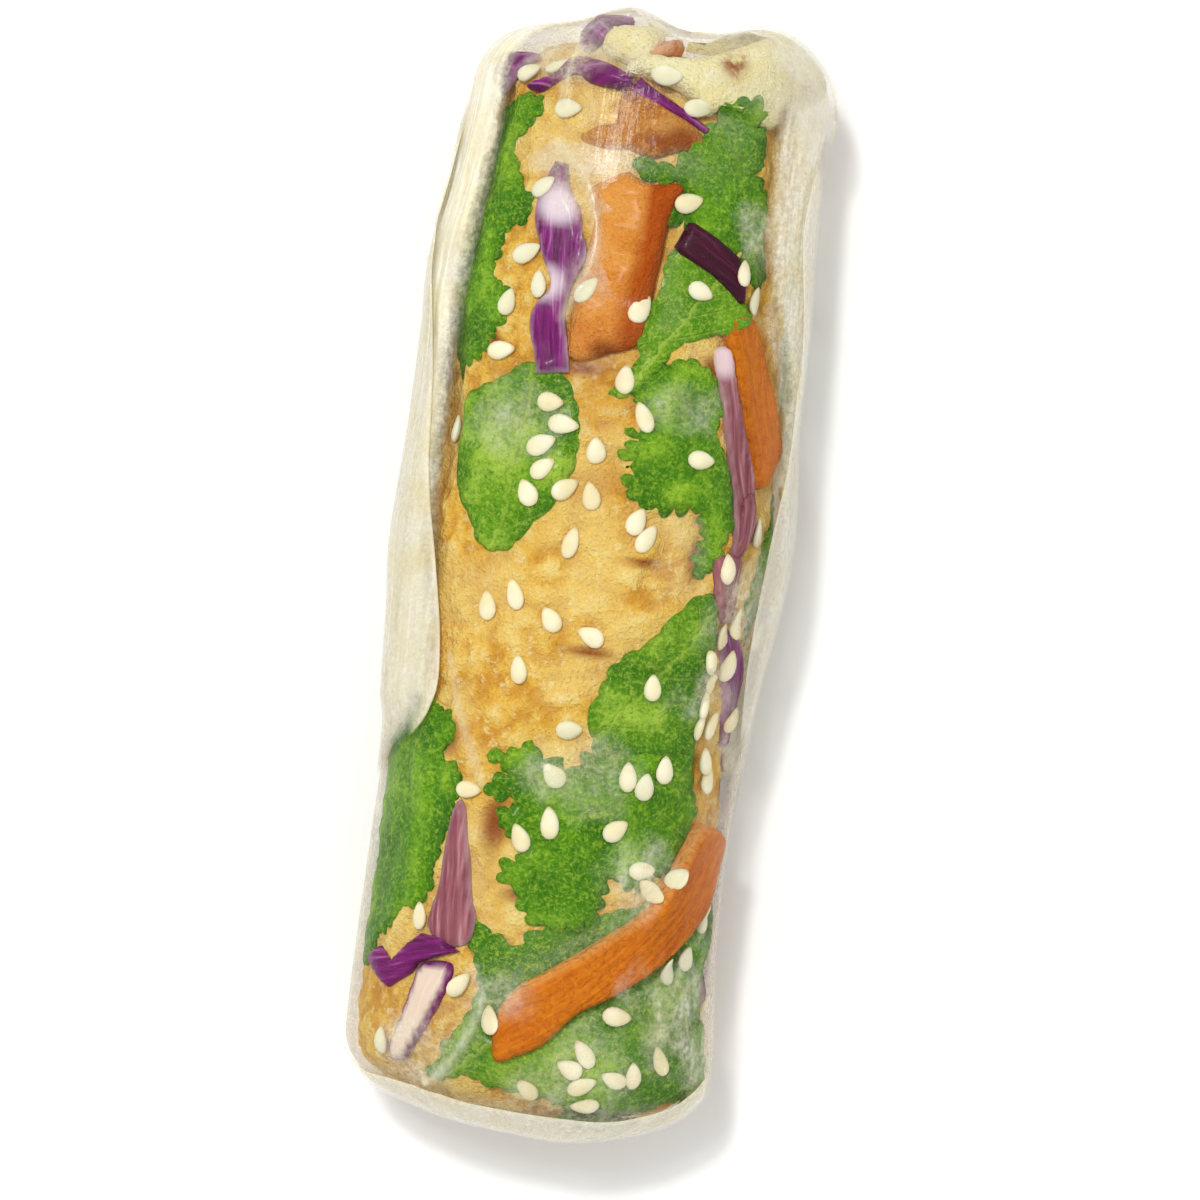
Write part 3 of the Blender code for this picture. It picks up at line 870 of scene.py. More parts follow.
@dataclass(frozen=True)
class Crust(Finish):
    """A fried, crumbed crust: golden, with painted light on its raised crumbs and painted shade in its
    hollows.
    """

    light: str = "fbe08a"
    main: str = "f0bd45"
    brown: str = "cc8522"
    cream: str = "f2d8a2"
    # Multiplied in by the orange mark: random orange tone on the fillet, and painted shade on a ridged
    # slab's far face.
    flank: str = "cf8420"
    flake: str = "fbe6a4"
    roughness: float = 0.55
    scorched: str = "9a5018"
    patch: float = 190.0
    speck: float = 1300.0
    crumb: float = 2600.0
    flaking: float = 700.0
    relief: float = 0.0008

    def surface(self, mix: Mixture) -> Socket:
        """The crust's shader.

        Args:
            mix: The material's nodes.

        Returns:
            The shader's output.
        """
        mottle = self.mottle(mix, self.patch, self.speck)
        fine = mix.noise(mix.place(), self.crumb, 3.0, 0.65)
        crumb = mix.mark("crumb")
        # Painted light on the raised crumbs and painted shade in the hollows between them, both set by the
        # crumb height.
        colour = mix.blend(mix.step(crumb, 0.30, 0.85), dyed(self.main), dyed(self.light))
        colour = mix.tint(colour, mix.step(fine, 0.5, 0.66), 0.6, self.light)
        hollow_shade = mix.share(mix.step(crumb, 0.34, 0.02), 0.6)
        colour = mix.blend(hollow_shade, colour, dyed(self.brown))
        colour = mix.tint(colour, mix.step(fine, 0.44, 0.28), 0.4, self.brown)
        flakes = mix.step(mix.noise(mix.place(), self.flaking, 4.0, 0.7), 0.56, 0.66)
        colour = mix.tint(colour, flakes, 0.7, self.flake)
        broad = mix.step(mix.noise(mix.place(), 120.0, 2.0), 0.42, 0.62)
        colour = mix.tint(colour, broad, 0.5, self.light)
        # Darker where the orange mark says: the fillet's random orange patches, and painted shade on a
        # ridged slab's far face past its ridge.
        colour = mix.blend(mix.mark("orange"), colour, dyed(self.flank), "MULTIPLY")
        veiled = mix.maths("MULTIPLY", mix.mark("cream"), mix.step(mottle.outputs["Height"], 0.45, 0.8))
        colour = mix.blend(veiled, colour, dyed(self.cream))
        toast = mix.maths("MULTIPLY", mix.mark("toast"), mix.step(mottle.outputs["Height"], 0.45, 0.65))
        colour = mix.blend(toast, colour, dyed(self.scorched))
        rough = mix.maths("ADD", mottle.outputs["Height"], mix.share(fine, 0.7))
        return self.body(mix, colour, self.roughness, mix.bump(rough, 0.9, self.relief), wet=0.03)


@dataclass(frozen=True)
class Carrot(Finish):
    """Carrot flesh with fine fibres, and a paler skin along one edge."""

    main: str = "d87800"
    deep: str = "b25000"
    pale: str = "eda352"
    warm: str = "e38c10"
    fineness: float = 1.5
    patch: float = 120.0
    speck: float = 1300.0
    relief: float = 0.0007

    def surface(self, mix: Mixture) -> Socket:
        """The carrot's shader.

        Args:
            mix: The material's nodes.

        Returns:
            The shader's output.
        """
        lines = self.fibre(mix, self.fineness)
        mottle = self.mottle(mix, self.patch, self.speck)
        colour = mix.blend(mix.step(lines, 0.2, 0.75), dyed(self.deep), dyed(self.main))
        colour = mix.tint(colour, mottle.outputs["Patches"], 0.4, self.warm)
        colour = mix.tint(colour, mottle.outputs["Specks"], 0.3, self.deep)
        colour = mix.blend(mix.mark("pale"), colour, dyed(self.pale))
        rough = mix.maths("ADD", lines, mix.share(mottle.outputs["Specks"], 0.4))
        return self.body(mix, colour, 0.45, mix.bump(rough, 0.7, self.relief), 0.05,
                         (1.0, 0.4, 0.1))


@dataclass(frozen=True)
class Cabbage(Finish):
    """A red cabbage ribbon: purple skin over white flesh, which shows at cut edges and ribs."""

    skin: str = "8a1e7a"
    dark: str = "560a46"
    flesh: str = "e3d2dd"
    fineness: float = 1.1
    patch: float = 190.0
    speck: float = 1200.0
    relief: float = 0.0005

    def surface(self, mix: Mixture) -> Socket:
        """The cabbage's shader.

        Args:
            mix: The material's nodes.

        Returns:
            The shader's output.
        """
        lines = self.fibre(mix, self.fineness)
        mottle = self.mottle(mix, self.patch, self.speck)
        colour = mix.blend(mix.step(lines, 0.38, 0.66), dyed(self.dark), dyed(self.skin))
        colour = mix.tint(colour, mottle.outputs["Patches"], 0.35, self.skin)
        veined = mix.maths("ADD", mix.mark("white"), mix.share(mix.step(lines, 0.56, 0.7), 0.25))
        colour = mix.blend(mix.maths("MINIMUM", veined, 0.95), colour, dyed(self.flesh))
        return self.body(mix, colour, 0.35, mix.bump(lines, 0.4, self.relief), wet=0.08)


@dataclass(frozen=True)
class Leaf(Finish):
    """A herb leaf with a pale midrib, side veins, a fine net between them, and painted light and shade over
    its bulges.
    """

    main: str = "62a000"
    dark: str = "2f7000"
    light: str = "b2d83c"
    veined: float = 0.22
    spacing: float = 2.6
    slope: float = 0.9
    patch: float = 150.0
    speck: float = 1400.0
    pore: float = 1100.0
    crinkle: float = 2800.0
    cell: float = 900.0
    relief: float = 0.0007

    def surface(self, mix: Mixture) -> Socket:
        """The leaf's shader.

        Args:
            mix: The material's nodes.

        Returns:
            The shader's output.
        """
        mottle = self.mottle(mix, self.patch, self.speck)
        split = mix.node("ShaderNodeSeparateXYZ", mix.pattern())
        wander = mix.share(mix.maths("SUBTRACT", mottle.outputs["Height"], 0.75), 2.6)
        fine = mix.noise(mix.place(), self.pore, 4.0, 0.7)
        away = mix.maths("ABSOLUTE", mix.maths("ADD", split.outputs[0], wander))
        rise = mix.maths("SUBTRACT", split.outputs[1], mix.share(away, self.slope))
        turns = mix.maths("DIVIDE", mix.maths("ADD", rise, wander), self.spacing)
        side = mix.maths("ABSOLUTE", mix.maths("SUBTRACT", mix.maths("FRACT", turns), 0.5))
        veins = mix.maths("MULTIPLY", mix.step(side, 0.10, 0.0), mix.step(away, 7.0, 1.0))
        midrib = mix.step(away, 0.42, 0.12)
        veins = mix.maths("MAXIMUM", mix.share(veins, 0.5), mix.share(midrib, 0.8))
        cells = mix.node("ShaderNodeTexVoronoi", feature="DISTANCE_TO_EDGE", Vector=mix.place(),
                         Scale=self.cell)
        net = mix.step(cells.outputs["Distance"], 0.09, 0.0)
        # Painted shade where the leaf dips and painted light where it bulges towards the light, both set by
        # the bulge mark.
        colour = mix.blend(mix.mark("lit_bulge"), dyed(self.dark), dyed(self.main))
        sunlit = mix.step(mix.mark("lit_bulge"), 0.55, 1.0)
        bright = mix.maths("MULTIPLY", sunlit, mottle.outputs["Patches"])
        colour = mix.tint(colour, bright, 0.65, self.light)
        colour = mix.tint(colour, net, 0.18, self.light)
        colour = mix.tint(colour, mix.step(fine, 0.52, 0.68), 0.5, self.light)
        colour = mix.tint(colour, mix.step(fine, 0.48, 0.36), 0.6, self.dark)
        colour = mix.tint(colour, mix.mark("edge"), 0.4, self.dark)
        crisp = mix.noise(mix.place(), self.crinkle, 3.0, 0.7)
        colour = mix.tint(colour, mix.step(crisp, 0.52, 0.64), 0.4, self.light)
        colour = mix.tint(colour, mix.step(crisp, 0.48, 0.36), 0.4, self.dark)
        colour = mix.tint(colour, veins, self.veined, self.light)
        raised = mix.maths("ADD", mottle.outputs["Height"], mix.maths("ADD", fine, crisp))
        raised = mix.maths("SUBTRACT", raised, mix.share(veins, self.veined * 2.0))
        return self.body(mix, colour, 0.4, mix.bump(raised, 0.7, self.relief), wet=0.06)


@dataclass(frozen=True)
class SeedCoat(Finish):
    """A hulled sesame seed, creamy and darker at its tip."""

    cream: str = "ebdfb2"
    pale: str = "f6eed0"
    tip: str = "d8c28c"
    veiled: str = "dde0c4"
    patch: float = 260.0
    speck: float = 1500.0
    relief: float = 0.0003

    def surface(self, mix: Mixture) -> Socket:
        """The seed's shader.

        Args:
            mix: The material's nodes.

        Returns:
            The shader's output.
        """
        mottle = self.mottle(mix, self.patch, self.speck)
        colour = mix.blend(mottle.outputs["Patches"], dyed(self.cream), dyed(self.pale))
        colour = mix.blend(mix.mark("tip"), colour, dyed(self.tip))
        colour = mix.blend(mix.mark("veil"), colour, dyed(self.veiled))
        normal = mix.bump(mottle.outputs["Height"], 0.25, self.relief)
        return self.body(mix, colour, 0.4, normal, 0.25, (1.0, 0.8, 0.5))


@dataclass(frozen=True)
class RicePaper(Finish):
    """Soaked rice paper: clear where it clings, milky where it stands off or is doubled."""

    lifted: float = 0.85
    cream: str = "f3eac4"
    gloss: float = 0.28
    white: str = "f8f3dc"
    fineness: float = 0.75
    grain: float = 2600.0
    wave: float = 260.0
    frost: float = 1500.0
    relief: float = 0.0003

    def surface(self, mix: Mixture) -> Socket:
        """The rice paper's shader.

        Args:
            mix: The material's nodes.

        Returns:
            The shader's output.
        """
        lines = self.fibre(mix, self.fineness)
        grain = mix.noise(mix.place(), self.grain, 2.0)
        wave = mix.noise(mix.place(), self.wave, 2.0)
        lift = mix.mark("lift")
        height = mix.maths("ADD", mix.share(lines, 0.8), mix.share(grain, 0.22))
        height = mix.maths("ADD", height, mix.share(wave, 0.6))
        normal = mix.bump(height, 0.4, self.relief)
        streak = mix.maths("MULTIPLY", mix.step(lines, 0.42, 0.66), mix.share(lift, 0.25))
        milk = mix.maths("MULTIPLY", lift, self.lifted, True)
        milk = mix.maths("ADD", milk, streak)
        frost = mix.step(mix.noise(mix.place(), self.frost, 4.0, 0.7), 0.38, 0.62)
        clinging = mix.share(mix.maths("SUBTRACT", 1.0, lift), 1.1)
        frost = mix.maths("MULTIPLY", mix.maths("SUBTRACT", frost, 0.5), clinging)
        milk = mix.maths("MULTIPLY", milk, mix.maths("ADD", frost, 1.0))
        milk = mix.maths("ADD", milk, mix.share(mix.mark("hem"), 0.35))
        milk = mix.maths("ADD", milk, mix.share(mix.step(grain, 0.58, 0.75), 0.03), True)
        milk = mix.maths("MULTIPLY", milk, mix.mark("body"))
        wet = mix.share(mix.node("ShaderNodeFresnel", 1.4, normal).outputs[0], self.gloss)
        wet = mix.maths("MULTIPLY", wet, mix.mark("body"))
        gloss = mix.node("ShaderNodeBsdfGlossy", (1.0, 1.0, 1.0, 1.0), 0.2, Normal=normal).outputs[0]
        clear = mix.node("ShaderNodeBsdfTransparent", (1.0, 1.0, 1.0, 1.0)).outputs[0]
        film = mix.node("ShaderNodeMixShader", wet, clear, gloss).outputs[0]
        colour = mix.blend(mix.step(wave, 0.35, 0.65), dyed(self.cream), dyed(self.white))
        veil = self.body(mix, colour, 0.3, normal, wet=0.3, gloss=0.4)
        return mix.node("ShaderNodeMixShader", milk, film, veil).outputs[0]


@dataclass(frozen=True)
class Tabletop(Finish):
    """A plain white floor."""

    def surface(self, mix: Mixture) -> Socket:
        """The floor's shader."""
        return mix.node("ShaderNodeBsdfDiffuse", dyed("fbfbfb")).outputs[0]


# ---- the pieces ---------------------------------------------------------------------------------
@dataclass
class Piece:
    """Something laid on the pile, and the CAD nodes that it stands for."""

    name: str
    nodes: tuple[str, ...]
    plan: Plan
    finish: Finish
    thickness: float = 0.5
    edge: float = 0.6
    soften: float = 0.8
    lip: float = 0.3
    cell: float = 0.55
    sink: float = 0.15
    wavy: float = 0.0
    given: Given = Given.FROM_ABOVE
    sharp: bool = False
    stem: Plan = ()
    widths: tuple[float, ...] = ()
    press: float = 0.0

    def cut(self) -> Cut:
        """The piece's outline on the sheet, which is a band along its plan where it has widths."""
        line = np.array([self.given.on_sheet(point) for point in self.plan])
        if self.widths:
            return Cut.ribbon(line, self.widths)
        return Cut.laid(line, soft=not self.sharp)

    def seed(self) -> int:
        """A number of the piece's own, for its unevenness."""
        return sum(ord(letter) * (k + 3) for k, letter in enumerate(self.name)) % 9973

    def relief(self, u: Array, v: Array, depth: Array) -> Array:
        """How far the top stands up or sinks in besides its crown."""
        return self.wavy * Ripple(self.seed(), (3.4, 4.6), 2).at(u, v) * eased(depth / 0.8)

    def marks(self, u: Array, v: Array, depth: Array) -> dict[str, Array]:
        """The values that its material reads."""
        return {"edge": 1.0 - eased(depth / 0.9)}

    def axis(self, cut: Cut) -> tuple[Array, Array]:
        """Where the piece's own pattern starts and which way it runs, on the sheet.

        Args:
            cut: The outline.

        Returns:
            Its start and its unit direction.
        """
        if self.stem:
            ends = [np.array(self.given.on_sheet(point)) for point in self.stem]
            return ends[0], (ends[1] - ends[0]) / np.linalg.norm(ends[1] - ends[0])
        middle = cut.points.mean(axis=0)
        spread = np.linalg.svd(cut.points - middle, full_matrices=False)[2][0]
        return middle, spread * (1.0 if spread[1] >= 0 else -1.0)

    def uv(self, cut: Cut, u: Array, v: Array) -> Array:
        """Millimetres across and along the piece's own direction."""
        start, ahead = self.axis(cut)
        x, y = u - start[0], v - start[1]
        return np.stack([x * ahead[1] - y * ahead[0], x * ahead[0] + y * ahead[1]], axis=1)

    def build(self, bed: Bed) -> bpy.types.Object:
        """Lays the piece on the pile and makes it.

        Args:
            bed: The pile.

        Returns:
            The finished object.
        """
        cut = self.cut()
        rest = bed.lay(cut, self.thickness, self.edge, self.soften, self.lip)
        mesh = plate(cut, self.cell)
        u, v, side = places(mesh)
        depth = np.maximum(cut.depth(u, v), 0.0)
        top = rest.crown(depth) + self.relief(u, v, depth)
        height = rest.floor(u, v) + np.where(side > 0.5, top, -self.sink)
        made = finished(mesh, self.name, FORM.point(u, v, height), self.uv(cut, u, v),
                        self.marks(u, v, depth), self.finish.material())
        return dressed(made, self.nodes)


def dressed(made: bpy.types.Object, nodes: tuple[str, ...]) -> bpy.types.Object:
    """Fixes a piece to the body and hides the nodes that it stands for.

    Args:
        made: The piece.
        nodes: The nodes it stands for.

    Returns:
        The piece.
    """
    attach(made, "root")
    if nodes:
        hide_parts(*nodes)
    LOG.info("%s: %d faces", made.name, len(made.data.polygons))
    return made


@dataclass
class Herb(Piece):
    """A coriander or mint leaf, scalloped where it is coriander."""

    thickness: float = 0.42
    edge: float = 0.7
    soften: float = 0.5
    wavy: float = 0.32
    wave: float = 1.55
    bite: float = 0.8
    lobe: float = 1.3

    def cut(self) -> Cut:
        """The leaf's outline with its teeth."""
        plain = super().cut()
        return plain.toothed(self.wave, self.bite, self.seed(), self.lobe) if self.bite else plain

    def marks(self, u: Array, v: Array, depth: Array) -> dict[str, Array]:
        """The edge, and where the leaf bulges towards the light, which sets the leaf's painted light and
        painted shade.
        """
        lit_bulge = 0.5 + 0.9 * Ripple(self.seed(), (3.4, 4.6), 2).at(u, v)
        return {"edge": 1.0 - eased(depth / 0.9), "lit_bulge": np.clip(lit_bulge, 0.0, 1.0)}


@dataclass
class Ribbon(Piece):
    """A red cabbage ribbon, with white flesh along one side or at its ends."""

    thickness: float = 0.95
    edge: float = 0.9
    soften: float = 0.9
    wavy: float = 0.18
    white_side: float = 0.0
    white_core: float = 0.0
    white_spots: tuple[tuple[float, float, float], ...] = ()

    def marks(self, u: Array, v: Array, depth: Array) -> dict[str, Array]:
        """The edge, and where the white flesh shows.

        Args:
            u: Millimetres round the sheet.
            v: Millimetres along it.
            depth: How deep inside the outline.

        Returns:
            Each mark's values by its name.
        """
        white = (1.0 - eased(depth / 0.45)) * self.white_side
        white = np.maximum(white, eased((depth - 0.35) / 0.5) * self.white_core)
        for across, along, reach in self.white_spots:
            at = self.given.on_sheet((across, along))
            near = np.hypot(u - at[0], v - at[1]) / reach
            white = np.maximum(white, 1.0 - eased(near * near))
        return {"white": white, "edge": 1.0 - eased(depth / 0.8)}


@dataclass
class Stick(Piece):
    """A carrot stick, cut square, with softened edges and one paler side."""

    thickness: float = 2.3
    edge: float = 0.8
    soften: float = 2.0
    lip: float = 0.4
    sink: float = 0.6
    wavy: float = 0.12
    pale_side: float = 0.0
    press: float = 1.0

    def marks(self, u: Array, v: Array, depth: Array) -> dict[str, Array]:
        """The edge, and the paler side, which is the left one where it is positive."""
        across = self.uv(self.cut(), u, v)[:, 0] * np.sign(self.pale_side or 1.0)
        rim = (1.0 - eased((depth - 0.15) / 0.7)) * eased(-across / 0.8 - 0.4)
        return {"pale": rim * abs(self.pale_side), "edge": 1.0 - eased(depth / 0.9)}


@dataclass
class Slab(Piece):
    """A slab of fried crust or curd, with a ridge or browned spots."""

    thickness: float = 1.7
    edge: float = 1.0
    soften: float = 2.2
    lip: float = 0.3
    sink: float = 0.5
    wavy: float = 0.3
    press: float = 0.5
    ridge: Plan = ()
    toasted: tuple[tuple[float, float, float], ...] = ()
    grain: float = 0.2

    def near(self, u: Array, v: Array, spots: tuple) -> Array:
        """How close each place is to a round spot, from 0 to 1.

        Args:
            u: Millimetres round the sheet.
            v: Millimetres along it.
            spots: Each spot's place and reach.

        Returns:
            The nearness.
        """
        best = np.zeros(u.shape)
        for across, along, reach in spots:
            at = FORM.unwrap(across, along)
            best = np.maximum(best, 1.0 - eased(np.hypot(u - at[0], v - at[1]) / reach * 1.4 - 0.4))
        return best

    def relief(self, u: Array, v: Array, depth: Array) -> Array:
        """The slab's unevenness and its ridge."""
        grain = Ripple(self.seed() + 1, (1.5, 1.5), 3).at(u, v) * self.grain
        if self.ridge:
            grain = grain + 0.7 * np.clip(1.0 - distance_to(traced(self.ridge), u, v) / 3.4, 0.0, 1.0)
        return super().relief(u, v, depth) + grain * eased(depth / 0.6)

    def flank(self, u: Array, v: Array) -> Array:
        """1 on the far side of the ridge, the face that is given painted shade.

        Args:
            u: Millimetres round the sheet.
            v: Millimetres along it.

        Returns:
            The share of the face with painted shade.
        """
        if not self.ridge:
            return np.zeros(u.shape)
        line = traced(self.ridge)
        line = line[np.argsort(line[:, 1])]
        return eased((u - np.interp(v, line[:, 1], line[:, 0])) / 0.9 + 0.5)

    def marks(self, u: Array, v: Array, depth: Array) -> dict[str, Array]:
        """Where the slab is browned, its crumbs, and its far face past the ridge, which gets painted shade.
        """
        crumb = 0.5 + 0.5 * Ripple(self.seed() + 2, (1.8, 1.8), 3).at(u, v)
        # The orange mark here is the painted shade on the far face past the ridge.
        return {"crumb": crumb, "toast": self.near(u, v, self.toasted), "orange": self.flank(u, v),
                "edge": 1.0 - eased(depth / 0.9), "cream": np.zeros(u.shape)}


@dataclass
class Fillet:
    """The crumbed fillet that is the roll's core."""

    finish: Crust = Crust("crumb_crust", "crumbed_fillet")
    ends: tuple[float, float] = (-60.0, 59.2)
    around: int = 236
    along: int = 236
    left: float = -18.5
    right: float = 15.5
    back: float = 39.0
    end_rest: float = 2.1
    crest: float = 1.7
    side: float = 0.1
    low_side: float = 1.3
    tear: float = 0.9
    cream_patch: Plan = (
        (-11.7, 42.7), (-4.3, 44.6), (1.8, 43.9), (1.2, 42.1), (-3.8, 40.9), (-7.9, 40.5), (-11.4, 40.7))
    torn: Plan = ((5.2, 6.6), (11.3, 7.3), (12.6, -0.4), (7.0, -1.6), (5.6, 1.4), (7.2, 3.6))
    scorched: tuple[tuple[float, float, float, float], ...] = (
        (5.9, 2.0, 2.4, 0.7), (11.6, 3.0, 1.3, 3.4), (11.8, 7.0, 1.2, 1.2), (-11.8, -18.4, 1.6, 2.4),
        (1.7, -7.8, 2.6, 0.9), (-6.0, -26.6, 1.8, 4.4), (-12.6, 22.4, 1.1, 2.2), (-1.5, -33.5, 3.2, 1.4),
        (10.4, 22.6, 1.6, 2.4), (-3.0, 21.0, 2.4, 1.0), (12.0, -3.4, 1.4, 1.2))

    def height(self, u: Array, v: Array) -> Array:
        """The crust's height above the datum, with its crumbs.

        Args:
            u: Millimetres round the sheet.
            v: Millimetres along it.

        Returns:
            The heights.
        """
        drift = Ripple(11, (9.0, 14.0), 2).at(u, v) * 2.0
        turn = (u + ROUND / 2) % ROUND - ROUND / 2
        seen = eased((turn - self.left + drift) / 4.0) * eased((self.right - turn + drift) / 4.0)
        under = eased((np.abs(turn) - self.back + drift) / 5.0)
        side = self.side + (self.low_side - self.side) * eased((-15.0 - v) / 7.0)
        broad = side + (self.crest - side) * np.maximum(seen, under)
        broad += 0.35 * Ripple(12, (6.0, 7.0), 2).at(u, v)
        over = np.maximum(v - self.ends[1] + 3.2, self.ends[0] + 3.2 - v) / 3.2
        rounded = 2.4 * (1.0 - np.sqrt(1.0 - np.clip(over, 0.0, 0.999) ** 2))
        return broad + self.crumbs(u, v) - rounded

    def crumbs(self, u: Array, v: Array) -> Array:
        """The crumbs' height."""
        coarse = Ripple(13, (2.6, 2.6), 3).at(u, v)
        fine = Ripple(14, (1.1, 1.1), 2).at(u, v)
        return 0.55 * np.abs(coarse) ** 0.8 + 0.34 * np.maximum(fine, -0.25)

    def build(self, bed: Bed, pressed: list[Piece]) -> bpy.types.Object:
        """Makes the fillet, which is the pile's first layer.

        Args:
            bed: The pile.
            pressed: The thick pieces that press into it.

        Returns:
            The finished object.
        """
        torn, patch = Cut.seen(self.torn), Cut.seen(self.cream_patch)
        bed.height = self.height(bed.grid_u, bed.grid_v)
        bed.height -= self.tear * eased(torn.depth(bed.grid_u, bed.grid_v) / 1.2 + 0.4)
        for piece in pressed:
            bed.dent(piece.cut(), piece.press)
        mesh = tube(self.around, self.along, *self.ends)
        u, v, _ = places(mesh)
        toast = np.zeros(u.shape)
        for across, along, wide, long in self.scorched:
            at = FORM.unwrap(across, along)
            near = np.hypot((u - at[0]) / wide, (v - at[1]) / long)
            toast = np.maximum(toast, 1.0 - eased(near - 0.1))
        orange = 0.22 * eased((np.abs(Ripple(15, (8.0, 9.0), 2).at(u, v)) - 0.3) / 0.3)
        marks = {
            "crumb": np.clip(self.crumbs(u, v) / 0.7, 0.0, 1.0),
            "toast": toast,
            "cream": np.maximum(eased(patch.depth(u, v) / 0.7 + 0.3), eased((v - 49.0) / 4.0)),
            "orange": orange * eased((v + 54.0) / 4.0),
        }
        made = finished(mesh, "fried_fillet", FORM.point(u, v, bed.read(bed.height, u, v)),
                        np.stack([u, v], axis=1), marks, self.finish.material(), closing=True)
        bed.height = np.maximum(bed.height, self.end_rest * eased((np.abs(bed.grid_v) - 44.0) / 6.0))
        return dressed(made, ("crumbed_fillet",))


@dataclass
class Seeds:
    """Sesame seeds, pressed flat between the paper and whatever lies under it."""

    finish: SeedCoat = SeedCoat("sesame", "rice_paper")
    long: float = 3.15
    wide: float = 1.95
    thick: float = 1.0
    segments: tuple[int, int] = (12, 8)

    def lay(self, bed: Bed, film: Array) -> bpy.types.Object:
        """Lays every seed and raises the pile by it.

        Args:
            bed: The pile.
            film: How high the paper stands before the seeds are in.

        Returns:
            The finished object.
        """
        under = bed.blurred(bed.height, 0.7)
        mesh = bmesh.new()
        rng = np.random.default_rng(5)
        for place, turn, veil in seed_places():
            self.seed(mesh, bed, under, film, place, math.radians(turn), veil, rng)
        u, v, height = places(mesh)
        made = finished(mesh, "sesame_seeds", FORM.point(u, v, height), np.stack([u, v], axis=1), {},
                        self.finish.material())
        return dressed(made, ())

    def seed(self, mesh: bmesh.types.BMesh, bed: Bed, under: Array, film: Array,
             at: tuple[float, float], turn: float, veil: float, rng: np.random.Generator) -> None:
        """One seed: an egg that narrows to its tip.

        Args:
            mesh: The bmesh that it is added to.
            bed: The pile.
            under: The pile's height, bridged over its smallest hollows.
            film: The paper's height.
            at: Where its middle lies on the sheet.
            turn: How far its tip is turned clockwise, in radians.
            veil: How much milky paper dulls it.
            rng: What makes it differ from the others.
        """
        tips = mesh.verts.layers.float.get("tip") or mesh.verts.layers.float.new("tip")
        veils = mesh.verts.layers.float.get("veil") or mesh.verts.layers.float.new("veil")
        grown = rng.uniform(0.9, 1.1, 3)
        half = np.array([self.wide, self.long, self.thick]) * grown / 2.0
        ball = bmesh.ops.create_uvsphere(mesh, u_segments=self.segments[0], v_segments=self.segments[1],
                                         radius=1.0)
        unit = np.array([vertex.co for vertex in ball["verts"]])
        tip = np.clip(unit[:, 2], -1.0, 1.0)
        narrow = 1.0 - 0.30 * tip - 0.14 * tip * tip
        x, y, z = unit[:, 0] * half[0] * narrow, tip * half[1], unit[:, 1] * half[2] * narrow
        c, s = math.cos(turn), math.sin(turn)
        step = np.array([0.8, 0.0])
        wide, long = (FORM.skin(at[0] + d, at[1] + e) - FORM.skin(at[0] - d, at[1] - e)
                      for d, e in (step, step[::-1]))
        u = at[0] + (x * c + y * s) * 1.6 / max(float(np.linalg.norm(wide)), 0.8)
        v = at[1] + (y * c - x * s) * 1.6 / max(float(np.linalg.norm(long)), 0.8)
        below = bed.read(under, u, v)
        stuck = max(float(bed.read(film, *at)) - 0.3 - self.thick, float(bed.read(under, *at)))
        rest = below + (stuck - float(bed.read(under, *at))) + half[2] * 0.8
        self.raise_pile(bed, at, half, turn, stuck + self.thick * 0.9)
        for vertex, place, end in zip(ball["verts"], zip(u, v, rest + z), eased((tip - 0.72) / 0.25)):
            vertex.co = place
            vertex[tips], vertex[veils] = float(end), veil

    @staticmethod
    def raise_pile(bed: Bed, at: tuple[float, float], half: Array, turn: float,
                   top: float) -> None:
        """Raises the pile where a seed lies.

        Args:
            bed: The pile.
            at: Where the seed's middle lies.
            half: Half its width, length and thickness.
            turn: How far its tip is turned clockwise.
            top: How high it stands.
        """
        du = (bed.grid_u - at[0] + ROUND / 2) % ROUND - ROUND / 2
        dv = bed.grid_v - at[1]
        near = np.hypot(du, dv) < 2.2
        x = (du * math.cos(turn) - dv * math.sin(turn))[near] / half[0]
        y = (du * math.sin(turn) + dv * math.cos(turn))[near] / half[1]
        dome = 1.0 - x**2 - y**2
        raised = np.where(dome > 0, top - half[2] * (1.0 - np.sqrt(np.maximum(dome, 0.0))), -9.0)
        bed.height[near] = np.maximum(bed.height[near], raised)


